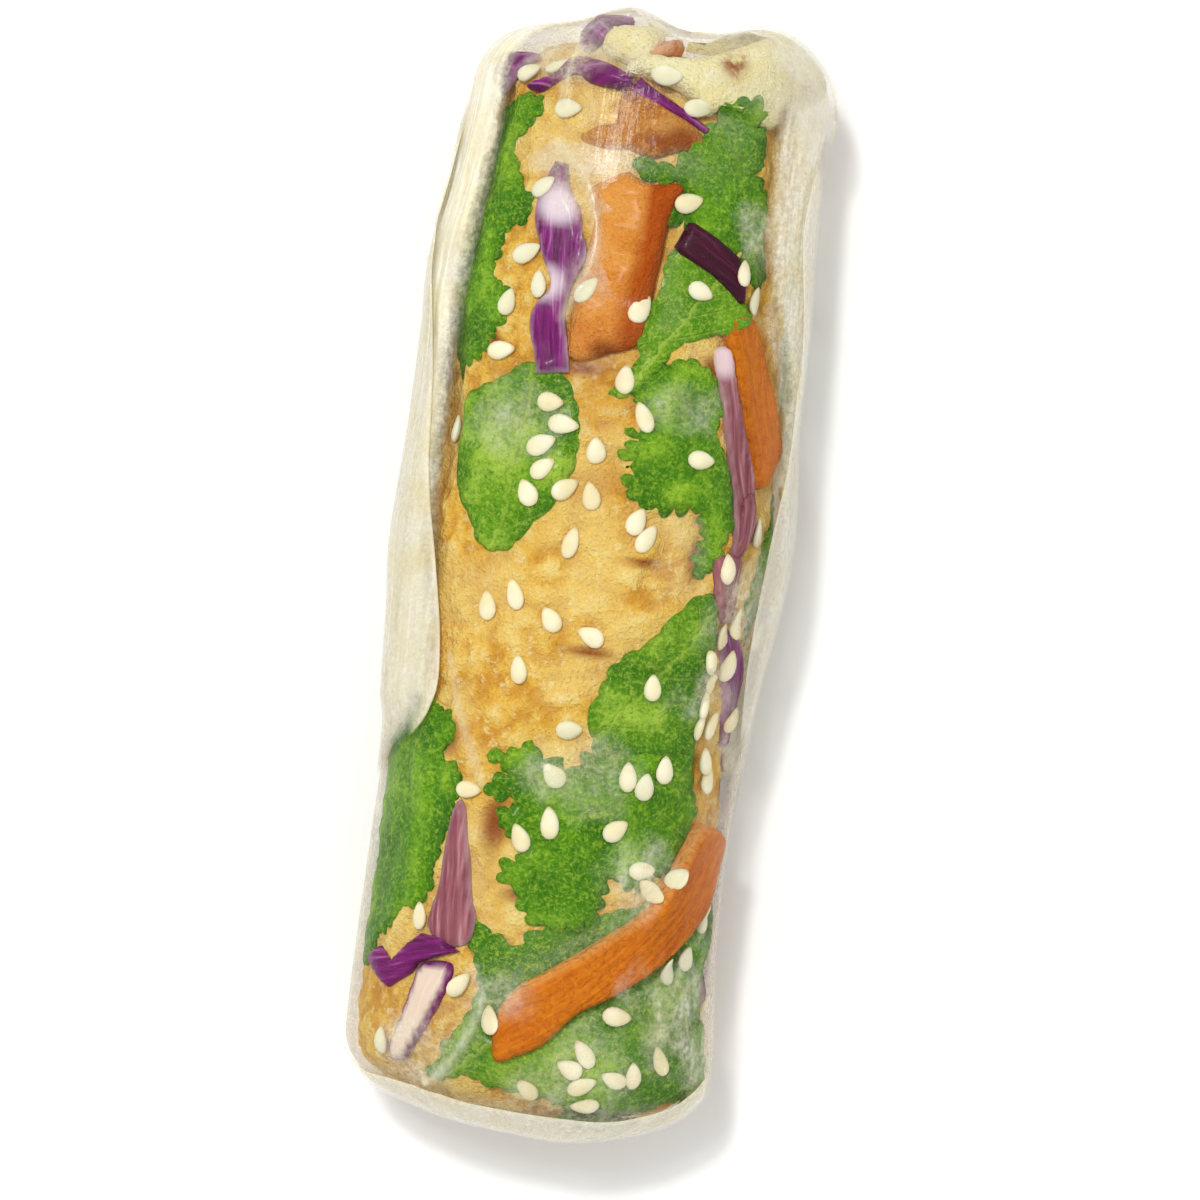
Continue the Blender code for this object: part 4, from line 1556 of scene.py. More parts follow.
@dataclass
class Wrap:
    """The rice paper round the whole pile."""

    finish: RicePaper = RicePaper("rice_paper_cling", "rice_paper")
    around: int = 252
    along: int = 290
    clear: float = 0.12
    crease: float = 0.4
    band: float = 13.0
    lap_end: float = 18.0
    side_start: float = 21.0
    side_milk: float = 0.3
    end_start: float = 52.5
    end_milk: tuple[float, float] = (0.6, 0.18)
    left_edge: Plan = (
        (-13.6, 50.0), (-14.0, 41.7), (-15.2, 30.0), (-16.0, 19.0), (-15.2, 0.0), (-13.2, -13.7),
        (-17.6, -20.0), (-18.2, -50.0))
    right_edge: Plan = (
        (12.8, 50.0), (13.2, 40.0), (14.6, 31.0), (18.2, 22.0), (19.0, 6.0), (17.8, -22.0),
        (16.8, -50.0))
    veils: tuple[tuple[float, float, float, float], ...] = (
        (9.5, -30.0, 4.0, 0.26), (15.0, -44.0, 6.5, 0.36), (-4.5, -44.0, 3.4, 0.26), (-9.5, 15.0, 4.5, 0.20),
        (8.0, 18.5, 4.0, 0.20), (14.0, -10.0, 4.5, 0.28), (-6.5, 40.5, 5.0, 0.18), (-8.0, 53.5, 5.0, 0.22),
        (2.0, -20.0, 4.5, 0.20), (13.5, 37.0, 3.6, 0.24), (6.0, -53.0, 6.0, 0.20), (17.0, 0.0, 5.0, 0.30),
        (-10.0, -52.0, 6.0, 0.30), (-3.0, 30.0, 3.0, 0.14))

    def creases(self, u: Array, v: Array) -> Array:
        """The ridges where the paper is folded or a layer under it ends, from 0 to 1."""
        best = np.zeros(np.shape(u))
        for wide, plan in CREASES:
            best = np.maximum(best, np.exp(-((distance_to(traced(plan), u, v) / wide) ** 2)))
        return best

    def edge_at(self, line: Plan, v: Array) -> Array:
        """Where a band of loose paper starts, round the sheet, at each station."""
        knots = np.array(sorted((FORM.unwrap(*p) for p in line), key=lambda p: p[1]))
        return np.interp(v, knots[:, 1], knots[:, 0])

    def loose(self, u: Array, v: Array) -> Array:
        """How freely the paper stands off the pile, from 0 to 1.

        Args:
            u: Millimetres round the sheet.
            v: Millimetres along it.

        Returns:
            The share of standing off.
        """
        turn = (u + ROUND / 2) % ROUND - ROUND / 2
        past_left = self.edge_at(self.left_edge, v) - turn
        past_right = turn - self.edge_at(self.right_edge, v)
        left = (0.4 + 0.5 * eased((v + self.lap_end) / 4.0)) * eased(past_left / 3.0)
        milky = 0.32 + 0.2 * eased((v + 26.0) / 6.0) + 0.14 * eased((v - 16.0) / 8.0)
        right = milky * eased(past_right / 1.8)
        left *= 1.0 - 0.6 * eased((past_left - self.band) / 6.0)
        right *= 1.0 - 0.6 * eased((past_right - self.band) / 6.0)
        sides = self.side_milk * eased((np.abs(turn) - self.side_start) / 4.0)
        ends = np.where(v < 0, *self.end_milk) * eased((np.abs(v) - self.end_start) / 4.0)
        return np.maximum.reduce([left, right, sides, ends])

    def clouds(self, u: Array, v: Array) -> Array:
        """How milky the paper is where it clings in patches, from 0 to 1.

        Args:
            u: Millimetres round the sheet.
            v: Millimetres along it.

        Returns:
            The milkiness.
        """
        best = np.zeros(np.shape(u))
        uneven = Ripple(33, (3.6, 4.4), 3).at(u, v)
        for across, along, reach, strength in self.veils:
            at = FORM.unwrap(across, along)
            near = np.hypot(u - at[0], v - at[1]) / reach + 0.7 * uneven
            best = np.maximum(best, strength * (1.0 - eased((near - 0.35) / 0.8)))
        return best * (1.0 + 0.7 * Ripple(34, (1.3, 1.9), 2).at(u, v))

    def wrinkles(self, u: Array, v: Array) -> Array:
        """The loose paper's folds, which run along the roll."""
        drawn = Ripple(31, (2.3, 17.0), 3).at(u + 1.5 * Ripple(32, (30.0, 14.0)).at(u, v), v)
        return 0.34 * (np.abs(drawn) * 2.0 - 0.6) * eased((58.0 - np.abs(v)) / 4.0)

    def settle(self, bed: Bed) -> Array:
        """Stretches the paper over the pile and gives its height over the whole sheet.

        Args:
            bed: The pile.

        Returns:
            The paper's height, one a cell.
        """
        pile = bed.height + self.clear
        film = np.maximum(pile, bed.blurred(pile, 3.0))
        for reach in (2.6, 1.4, 0.7):
            for _ in range(16):
                film = np.maximum(pile, bed.blurred(film, reach))
        loose = self.loose(bed.grid_u, bed.grid_v)
        standing = DATUM - 0.15 + self.wrinkles(bed.grid_u, bed.grid_v)
        film = np.maximum(film * (1.0 - loose) + standing * loose, pile)
        film += self.crease * self.creases(bed.grid_u, bed.grid_v)
        return bed.blurred(film, 0.25)

    def build(self, bed: Bed, film: Array) -> bpy.types.Object:
        """Makes the paper.

        Args:
            bed: The pile.
            film: The paper's height over the sheet.

        Returns:
            The finished object.
        """
        mesh = tube(self.around, self.along, -FORM.reach, FORM.reach)
        u, v, _ = places(mesh)
        height = bed.read(film, u, v)
        gap = height - bed.read(bed.blurred(bed.height, 0.5), u, v)
        lift = np.maximum(0.45 * eased((gap - 1.0) / 2.4), self.loose(u, v) * eased(gap / 0.8 + 0.4))
        lift = np.maximum(lift, self.clouds(u, v))
        marks = {"lift": lift, "hem": 0.8 * self.creases(u, v), "body": np.ones(u.shape)}
        made = finished(mesh, "rice_paper_wrap", FORM.point(u, v, height), np.stack([u, v], axis=1),
                        marks, self.finish.material(), closing=True)
        return dressed(made, ("rice_paper",))


@dataclass
class Fold:
    """A lap, lip or hem of rice paper over the rest.

    Its edge shows along the first points of its plan, as many as shown says. The points after the
    first ones given from above lie on the unrolled sheet.
    """

    name: str
    plan: Plan
    shown: int
    lift: float = 0.25
    ridge: float = 0.2
    flare: float = 0.0
    fade: float = 4.0
    stands: float = 0.32
    above: int = 99
    finish: RicePaper = RicePaper("rice_paper_fold", "rice_paper", 0.55)

    def build(self, bed: Bed, film: Array) -> bpy.types.Object:
        """Makes the fold.

        Args:
            bed: The pile.
            film: The height of the paper that it lies on.

        Returns:
            The finished object.
        """
        top, sheet = self.plan[:self.above], self.plan[self.above:]
        corners = np.array([*(FORM.unwrap(*point) for point in top), *sheet])
        cut = Cut(curve(corners, 0.5, True))
        mesh = plate(cut, 0.6)
        u, v, side = places(mesh)
        ruffle = Ripple(len(self.name) + 40, (1.7, 6.5), 2).at(u, v)
        rim = np.exp(-((distance_to(curve(corners[:self.shown], 0.5, False), u, v) / 0.45) ** 2))
        hidden = np.concatenate([corners[self.shown - 1:], corners[:1]])
        body = eased(distance_to(curve(hidden, 0.5, False), u, v) / self.fade) if len(hidden) > 2 else 1.0
        height = bed.read(bed.blurred(film, 0.5), u, v) + self.stands
        height += self.ridge * rim + self.flare * rim * (0.6 + 0.8 * ruffle)
        height += np.where(side > 0.5, 0.08, -0.08)
        marks = {"lift": self.lift + 0.2 * ruffle, "hem": 0.7 * rim, "body": body * np.ones(u.shape)}
        made = finished(mesh, self.name, FORM.point(u, v, height), np.stack([u, v], axis=1), marks,
                        self.finish.material())
        return dressed(made, ())


# ---- what lies in the roll, from the fillet outwards -----------------------------------------------
# Each crust's seventh colour, its flank, darkens the fried slab's far face past its ridge as painted shade.
ORANGE = Crust("orange_crust", "orange_slab", "eca24c", "de8830", "b8640e", "f0c98c", "cc904e", "f0ac5c")
BROWNED = Crust("browned_crust", "browned_end", "e2ab5c", "c47c28", "8a420a", "f0c98c", "d9a060", "e8b878")
CURD = Crust("pale_curd", "pale_slab", "f9f1c2", "f4e6a4", "e8cc70", "f6ecc4", "f0e0a0", "fcf6d8", 0.45)
CARROT = Carrot("carrot_flesh", "carrot")
CABBAGE = Cabbage("cabbage_purple", "cabbage")
CABBAGE_DARK = Cabbage("cabbage_deep", "cabbage", "480628", "300216", "7c3a66")
CABBAGE_PALE = Cabbage("cabbage_mauve", "cabbage", "a86a70", "7a3848", "e6ccd0")
CABBAGE_RIB = Cabbage("cabbage_rib_flesh", "cabbage", flesh="ecd9c2")
CORIANDER = Leaf("coriander", "leaf")
MINT = Leaf("mint", "leaf", "6ea60c", "3a7a02", "bedc50", 0.4, 3.4, 0.75)
YOUNG = Leaf("young_leaf", "leaf", "80b414", "4c8c04", "c4e25a", 0.55, 2.8, 1.1)
STALK = Leaf("herb_stalk", "leaf", "7cab30", "54881a", "b4d070", 0.3, 9.0, 0.0)

SLABS = (
    Slab("fried_slab", ("orange_slab",),
         ((-2.5, 40.9), (-0.8, 41.7), (1.1, 40.7), (5.0, 41.0), (4.0, 37.5), (3.1, 28.0), (2.5, 24.4),
          (-0.1, 22.9), (-3.9, 21.7), (-5.1, 23.4), (-4.4, 30.7), (-3.8, 36.5), (-4.7, 39.2)),
         ORANGE, thickness=1.9, grain=0.3, ridge=((1.3, 40.2), (1.1, 34.9), (0.0, 27.0)),
         toasted=((-1.0, 23.0, 1.6),)),
    Slab("browned_corner", ("browned_end",),
         ((-2.4, 50.0), (0.2, 51.2), (6.3, 46.2), (6.0, 45.0), (3.6, 44.3), (1.1, 43.4), (-1.4, 44.1),
          (-4.0, 43.8), (-6.4, 44.6), (-4.6, 46.0), (-3.0, 46.6), (-2.9, 48.4)),
         BROWNED, thickness=1.1, wavy=0.5, grain=0.4,
         toasted=((4.2, 45.4, 2.4), (1.6, 44.6, 2.2), (-1.6, 49.8, 1.6))),
    Slab("curd_slab", ("pale_slab",),
         ((-2.6, 51.9), (3.1, 53.5), (9.1, 56.8), (11.9, 57.0), (15.2, 56.5), (17.2, 52.2), (14.3, 49.9),
          (13.1, 48.0), (8.2, 49.3), (6.2, 48.5), (3.0, 50.9)),
         CURD, thickness=1.9, wavy=0.15, grain=0.1,
         toasted=((8.3, 53.3, 1.9), (15.4, 51.6, 2.0), (13.8, 49.2, 1.9), (16.8, 53.0, 1.8))),
    Slab("curd_end", ("pale_end",),
         ((-4.4, 55.8), (-2.0, 56.4), (0.9, 56.1), (-0.2, 53.4), (-2.3, 52.8), (-5.3, 53.8)),
         CURD, thickness=1.2),
)

STICKS = (
    Stick("carrot_side", ("carrot_arc",),
          ((11.1, 27.3), (13.7, 28.4), (17.0, 22.6), (19.1, 15.9), (18.8, 13.7), (17.6, 11.1), (15.7, 14.8),
           (13.1, 21.6)),
          CARROT, thickness=2.0, stem=((13.0, 27.8), (17.8, 12.0))),
    Stick("carrot_front", ("carrot_baton",),
          ((15.3, -24.4), (17.0, -24.2), (17.5, -26.1), (16.8, -32.0), (13.1, -38.6), (8.2, -42.8),
           (4.9, -45.0), (1.5, -48.7), (-2.7, -50.4), (-2.9, -45.3), (0.8, -41.3), (6.7, -36.9),
           (10.9, -33.2), (13.7, -27.7)),
          CARROT, thickness=2.3, pale_side=0.8, stem=((-2.8, -48.0), (15.0, -29.0))),
    Stick("carrot_under", ("carrot_below",), ((-45.0, 34.0), (-47.0, 20.0), (-45.0, 2.0)), CARROT,
          thickness=2.0, given=Given.ON_SHEET, widths=(4.2, 4.8, 4.0)),
)

LOW_LEAVES = (
    Herb("coriander_left_top", ("leaf_left_top",),
         ((-11.8, 48.4), (-10.9, 47.0), (-12.4, 45.0), (-13.5, 41.3), (-11.2, 38.9), (-11.1, 35.5),
          (-12.8, 33.8), (-13.9, 30.5), (-12.9, 29.0), (-11.7, 27.6), (-12.1, 24.5), (-13.9, 22.1),
          (-16.4, 19.4), (-18.4, 23.2), (-19.6, 30.2), (-19.2, 37.6), (-16.2, 45.4)),
         CORIANDER, stem=((-16.8, 20.0), (-13.5, 46.0))),
    Herb("mint_round", ("leaf_round",),
         ((-14.9, 16.5), (-12.1, 18.6), (-8.8, 20.7), (-7.4, 21.0), (-5.5, 20.4), (-4.1, 19.0),
          (-2.8, 15.9), (-2.5, 12.0), (-3.5, 7.7), (-6.6, 3.9), (-8.3, 1.5), (-11.0, 1.6), (-12.7, 4.2),
          (-14.5, 7.2), (-15.0, 10.7), (-15.0, 14.6)),
         MINT, wave=2.4, bite=0.28, lobe=0.0, stem=((-9.6, 1.4), (-8.0, 20.6))),
    Herb("coriander_top_right", ("leaf_top_right",),
         ((8.2, 49.4), (9.8, 49.8), (11.5, 49.0), (12.7, 47.2), (12.7, 45.1), (13.1, 42.3), (15.0, 36.8),
          (15.2, 32.1), (14.0, 31.6), (12.4, 33.9), (7.5, 36.1), (4.5, 36.8), (3.5, 38.8), (5.1, 40.5),
          (1.2, 41.6), (1.2, 42.7), (4.6, 44.1), (6.8, 46.3), (6.3, 47.5)),
         CORIANDER, stem=((14.0, 32.0), (8.8, 48.5))),
    Herb("coriander_middle", ("leaf_middle",),
         ((2.3, 19.1), (5.7, 22.6), (8.5, 23.1), (11.4, 21.0), (12.3, 15.7), (14.5, 10.3), (14.5, 6.0),
          (12.7, 1.6), (11.8, 3.1), (12.1, 5.3), (11.2, 8.0), (9.4, 7.8), (7.2, 7.9), (5.3, 7.9),
          (3.4, 8.5), (2.8, 10.2), (4.2, 11.6), (2.2, 13.2), (3.7, 14.4), (2.9, 15.2), (5.5, 15.7),
          (4.2, 17.2)),
         CORIANDER, bite=1.0, lobe=0.6, stem=((13.6, 3.0), (7.5, 19.5))),
    Herb("coriander_left_low", ("leaf_left_low",),
         ((-15.0, -14.6), (-11.8, -17.2), (-11.8, -20.6), (-10.4, -22.4), (-10.1, -25.6), (-11.5, -28.9),
          (-11.7, -32.8), (-13.5, -36.0), (-15.8, -38.2), (-17.7, -41.9), (-18.8, -43.1), (-19.4, -36.5),
          (-19.2, -29.1), (-18.1, -20.6), (-17.7, -15.9)),
         CORIANDER, stem=((-18.4, -40.0), (-14.4, -16.5))),
    Herb("coriander_bottom", ("leaf_beside_baton", "leaf_bottom"),
         ((-6.7, -37.0), (-1.7, -38.8), (0.7, -36.9), (10.1, -33.1), (15.9, -29.7), (20.5, -32.6),
          (21.0, -41.9), (20.4, -49.6), (13.0, -54.3), (2.5, -54.0), (-5.8, -53.0), (-9.3, -53.3),
          (-8.4, -50.6), (-5.9, -46.1), (-5.6, -41.9)),
         MINT, wave=1.8, bite=0.6, lobe=0.8, stem=((-7.0, -52.0), (14.0, -34.0))),
    Herb("coriander_low", ("leaf_low",),
         ((-3.2, -17.7), (-1.8, -19.2), (1.1, -20.0), (3.9, -17.7), (9.0, -16.8), (13.9, -15.9),
          (14.7, -20.5), (14.8, -25.7), (9.8, -31.0), (6.7, -30.9), (5.1, -35.1), (2.4, -36.5),
          (-0.7, -35.5), (-4.1, -32.3), (-4.1, -30.9), (-2.4, -29.0), (-5.0, -27.0), (-5.5, -25.4),
          (-4.1, -24.0), (-6.5, -23.8), (-6.8, -22.5), (-5.0, -21.2), (-6.8, -19.9), (-4.8, -19.1)),
         CORIANDER, bite=1.0, lobe=0.6, stem=((14.4, -18.0), (-2.0, -27.0))),
    Herb("mint_big", ("leaf_big",),
         ((13.9, -0.6), (10.4, -2.4), (7.6, -6.0), (4.4, -8.8), (2.7, -12.5), (2.1, -14.3), (3.9, -17.7),
          (9.0, -17.3), (14.1, -15.9), (15.2, -10.0)),
         MINT, wave=2.4, bite=0.35, lobe=0.0, stem=((3.4, -16.6), (14.0, -2.0))),
)

TOP_PIECES = (
    Herb("young_stalk_leaf", ("leaf_stalk",),
         ((0.2, 18.7), (2.7, 23.3), (2.1, 24.7), (3.8, 29.9), (4.5, 34.0), (6.2, 34.9), (8.6, 32.7),
          (13.8, 29.0), (12.4, 27.2), (9.5, 25.8), (6.5, 24.5), (4.7, 21.8), (2.2, 18.9)),
         YOUNG, bite=0.25, lobe=0.0, stem=((1.2, 18.8), (8.6, 30.5))),
    Ribbon("cabbage_ribbon_dark", ("cabbage_dark",),
           ((4.7, 34.6), (5.0, 35.2), (5.8, 37.2), (6.4, 37.3), (8.6, 36.2), (11.6, 34.3), (12.7, 31.8),
            (12.6, 29.8), (12.2, 29.7), (8.7, 32.3), (5.4, 33.9)),
           CABBAGE_DARK, thickness=0.9, edge=0.5, sharp=True, stem=((5.4, 35.6), (12.2, 31.4))),
    Ribbon("cabbage_ribbon_centre", ("cabbage_middle",),
           ((-7.9, 41.7), (-8.2, 39.0), (-7.8, 36.5), (-7.1, 34.0), (-6.5, 32.2), (-6.4, 28.9),
            (-7.3, 25.6), (-6.6, 22.6), (-6.0, 20.1)),
           CABBAGE, widths=(1.5, 3.1, 4.6, 4.3, 4.1, 1.9, 3.4, 3.3, 2.9), white_side=0.35,
           white_spots=((-7.4, 37.4, 2.8), (-8.2, 29.2, 2.6))),
    Ribbon("cabbage_ribbon_right", ("cabbage_right",),
           ((10.4, 24.5), (11.8, 24.8), (13.7, 19.8), (17.2, 11.3), (17.9, 8.9), (17.8, 6.4), (16.7, 3.5),
            (15.4, 3.9), (14.7, 9.6), (12.3, 17.9), (11.2, 21.3)),
           CABBAGE_PALE, white_side=0.25, white_spots=((11.2, 23.8, 2.6),),
           stem=((11.2, 24.4), (16.4, 4.0))),
    Ribbon("cabbage_strip_right", (),
           ((16.9, 10.6), (17.6, 8.6), (17.2, 5.8), (16.2, 3.6), (15.6, 5.6), (15.6, 9.0)),
           CABBAGE_PALE, thickness=0.5, stem=((16.6, 10.0), (16.0, 4.0))),
    Ribbon("cabbage_mauve_right", ("cabbage_right_low",),
           ((13.5, 3.6), (16.7, 3.5), (17.2, -0.3), (16.8, -3.0), (15.0, -2.9), (13.6, 0.2)),
           CABBAGE_PALE, stem=((15.2, 3.2), (15.8, -2.8))),
    Ribbon("cabbage_edge_right", ("cabbage_side",),
           ((16.0, -4.7), (18.0, -4.4), (19.3, -9.4), (19.3, -15.7), (17.9, -14.8), (17.0, -9.7)),
           CABBAGE, white_side=0.3, stem=((17.2, -5.0), (18.8, -15.0))),
    Ribbon("cabbage_ribbon_left", ("cabbage_left_low",),
           ((-10.4, -26.6), (-9.2, -25.0), (-7.3, -34.1), (-6.6, -36.1), (-6.9, -38.9), (-9.0, -39.7),
            (-11.5, -38.0), (-10.9, -33.7)),
           CABBAGE_PALE, white_side=0.3, stem=((-9.6, -26.0), (-9.0, -39.0))),
    Ribbon("cabbage_rib", ("cabbage_cream",),
           ((-11.7, -41.9), (-8.5, -41.4), (-8.5, -43.9), (-10.4, -48.5), (-11.7, -51.9), (-13.4, -51.8),
            (-13.5, -49.6), (-12.4, -44.5)),
           CABBAGE_RIB, white_core=0.9,
           stem=((-10.2, -41.6), (-12.6, -51.8))),
    Ribbon("cabbage_cross_strip", ("cabbage_cross",),
           ((-17.4, -42.2), (-16.1, -40.7), (-14.8, -42.1), (-13.3, -39.9), (-12.1, -38.8), (-10.0, -38.9),
            (-7.7, -40.1), (-9.9, -40.9), (-12.0, -41.9), (-12.6, -43.0), (-14.8, -44.8), (-15.9, -43.8)),
           CABBAGE, thickness=1.1, edge=0.5, sharp=True, stem=((-16.8, -43.0), (-8.2, -40.0))),
    Ribbon("cabbage_curl_top", ("cabbage_top",),
           ((-7.3, 55.8), (-5.9, 57.2), (-4.7, 57.0), (-4.5, 55.4), (-5.6, 54.5), (-6.7, 53.6),
            (-7.7, 54.2)),
           CABBAGE, thickness=1.2),
    Ribbon("cabbage_rim_top", (),
           ((-6.4, 57.0), (-4.6, 57.9), (-2.4, 57.6), (-3.9, 56.9), (-5.3, 56.4)),
           CABBAGE, thickness=0.8),
    Ribbon("cabbage_corner_top", ("cabbage_top_left",),
           ((-15.8, 52.1), (-13.0, 52.8), (-11.6, 52.6), (-13.5, 50.9), (-14.4, 49.4), (-15.6, 48.5)),
           CABBAGE, white_side=0.3),
    Ribbon("cabbage_band_top", ("cabbage_band",),
           ((-12.5, 49.3), (-9.9, 50.7), (-8.0, 52.6), (-5.9, 52.7), (-1.7, 51.0), (-2.9, 50.0),
            (-6.2, 50.4), (-7.6, 51.2), (-9.4, 50.2), (-11.1, 48.8)),
           CABBAGE, thickness=1.3),
    Ribbon("cabbage_string_top", ("cabbage_thread",), ((-1.4, 50.6), (3.0, 48.6), (6.6, 46.9)), CABBAGE,
           thickness=0.8, widths=(1.1, 0.9, 0.6)),
    Stick("carrot_end", ("carrot_tip",),
          ((-0.4, 53.4), (1.0, 55.0), (2.4, 55.5), (3.0, 54.6), (1.6, 53.9)), CARROT, thickness=1.2),
    Herb("coriander_foot", ("leaf_foot",),
         ((5.2, -56.6), (6.3, -55.6), (8.1, -55.3), (12.1, -55.8), (13.2, -56.6), (10.3, -57.4),
          (6.6, -57.5)),
         CORIANDER, bite=0.5, lobe=0.3),
    Herb("coriander_corner", ("leaf_corner",),
         ((17.6, -45.1), (18.8, -44.5), (19.2, -46.7), (18.6, -49.3), (18.7, -52.2), (18.1, -53.7),
          (17.2, -52.0), (17.4, -49.2)),
         CORIANDER, bite=0.35, lobe=0.3),
    Herb("coriander_right_side", ("leaf_right_side",),
         ((24.0, -5.0), (27.0, 1.0), (31.0, 6.5), (28.0, 11.0), (23.5, 9.0), (21.5, 3.0), (21.8, -3.0)),
         CORIANDER, given=Given.ON_SHEET),
    Herb("stalk_right", (), ((18.5, -30.0), (18.3, -34.6), (17.1, -39.4), (15.7, -44.3)), STALK,
         thickness=0.8, widths=(0.8, 1.0, 1.1, 0.9), bite=0.0),
    Herb("stalk_left", (), ((-16.0, -8.9), (-16.9, -14.2), (-17.8, -20.0)), STALK, thickness=0.8,
         widths=(0.8, 1.0, 0.9), bite=0.0),
)

UNDER_PIECES = (
    Herb("coriander_under_right_top", ("leaf_below_right_top",),
         ((35.0, 38.0), (39.0, 40.0), (44.0, 36.5), (47.5, 30.0), (47.0, 22.0), (42.0, 14.5), (36.5, 18.0),
          (33.5, 25.0), (36.0, 31.0)),
         CORIANDER, given=Given.ON_SHEET, stem=((42.0, 15.0), (38.0, 39.0))),
    Herb("coriander_under_right_low", ("leaf_below_right_low",),
         ((42.0, -26.0), (50.0, -24.0), (53.0, -15.0), (51.0, -4.0), (46.0, 1.5), (40.0, -3.0),
          (38.0, -12.0), (40.5, -19.0)),
         CORIANDER, given=Given.ON_SHEET, stem=((46.0, 1.0), (45.0, -25.0))),
    Herb("coriander_under_left_low", ("leaf_below_left_low",),
         ((-38.0, -20.0), (-32.5, -24.0), (-32.0, -33.0), (-36.0, -41.0), (-42.0, -42.0), (-44.5, -34.0),
          (-43.0, -25.0)),
         CORIANDER, given=Given.ON_SHEET, stem=((-38.0, -41.0), (-38.5, -21.0))),
    Herb("mint_under_left", ("leaf_below_left_top",),
         ((-34.0, 19.0), (-29.0, 15.0), (-27.5, 8.0), (-30.0, 1.0), (-35.0, -1.0), (-38.5, 4.0),
          (-38.5, 12.0)),
         MINT, wave=2.4, bite=0.25, lobe=0.0, given=Given.ON_SHEET, stem=((-34.5, -0.5), (-33.0, 18.0))),
    Ribbon("cabbage_under_right", ("cabbage_below_right",), ((31.0, -43.0), (34.0, -30.0), (32.0, -14.0)),
           CABBAGE, given=Given.ON_SHEET, widths=(2.6, 3.4, 2.4), white_side=0.5),
    Ribbon("cabbage_under_left", ("cabbage_below_left",), ((-30.0, 43.0), (-33.0, 31.0), (-30.0, 17.0)),
           CABBAGE, given=Given.ON_SHEET, widths=(2.4, 3.4, 2.6), white_side=0.5),
)

# Ridges in the paper: half width, and the line as seen from above.
CREASES = (
    (0.35, ((-8.4, 43.7), (-5.3, 40.5), (-3.4, 35.5), (-3.6, 31.3), (-5.5, 25.8))),
    (0.35, ((-6.0, -41.4), (-4.7, -44.0), (-5.1, -47.0), (-7.0, -51.0), (-9.3, -53.6))),
    (0.40, ((-10.4, 55.2), (-7.9, 54.7), (-7.0, 52.9), (-3.3, 53.0))),
    (0.30, ((-7.6, 52.4), (-8.2, 50.0), (-8.5, 47.5))),
    (0.40, ((-2.7, 52.1), (0.6, 53.6), (3.7, 54.7), (7.7, 56.5))),
    (0.35, ((-12.6, -10.0), (-11.0, -15.0), (-8.8, -20.0), (-7.6, -22.6))),
)

FOLDS = (
    Fold("paper_lap_left",
         ((-19.4, 46.0), (-18.9, 36.0), (-18.0, 25.0), (-16.8, 10.0), (-15.4, 0.0), (-13.6, -9.0),
          (-13.4, -14.5), (-15.6, -19.0), (-28.0, -24.0), (-38.0, -20.0), (-40.0, 10.0), (-37.0, 38.0),
          (-30.0, 49.0)), 8, lift=0.7, above=8),
    Fold("paper_lip_right",
         ((7.7, 56.7), (12.0, 57.4), (16.2, 55.4), (18.6, 52.4), (18.8, 47.0), (16.6, 44.0), (13.6, 46.6),
          (8.0, 49.0), (5.0, 52.0)), 5, lift=0.2, ridge=0.3, flare=0.7),
    Fold("paper_hem_bottom",
         ((-18.3, -50.9), (-15.9, -53.1), (-9.1, -53.8), (-1.7, -54.6), (4.6, -54.8), (10.8, -54.3),
          (15.6, -52.6), (18.3, -49.8), (18.9, -52.2), (16.4, -55.2), (11.0, -57.4), (6.2, -58.2),
          (-1.2, -57.6), (-9.6, -56.6), (-16.2, -55.2), (-18.8, -53.0)), 8, lift=0.5, ridge=0.2, fade=1.5),
    Fold("paper_strip_right",
         ((17.4, 46.0), (16.8, 38.0), (18.4, 26.0), (18.9, 14.0), (18.2, 4.0), (17.6, -6.0), (17.8, -16.0),
          (28.0, -24.0), (36.0, -10.0), (38.0, 20.0), (32.0, 44.0), (26.0, 50.0)), 7, lift=0.15, above=7),
)

SCATTERED = 64  # seeds on the sides and below
SCATTER_START = 27.0  # millimetres of sheet from the top line to the first of them
SCATTER_END = 50.0  # how far along the roll they reach each way
GOLDEN = 0.618  # the golden section, which spreads them evenly
SCATTER_VEIL = 0.2
VEILED = 0.55  # how much milky paper dulls a veiled seed

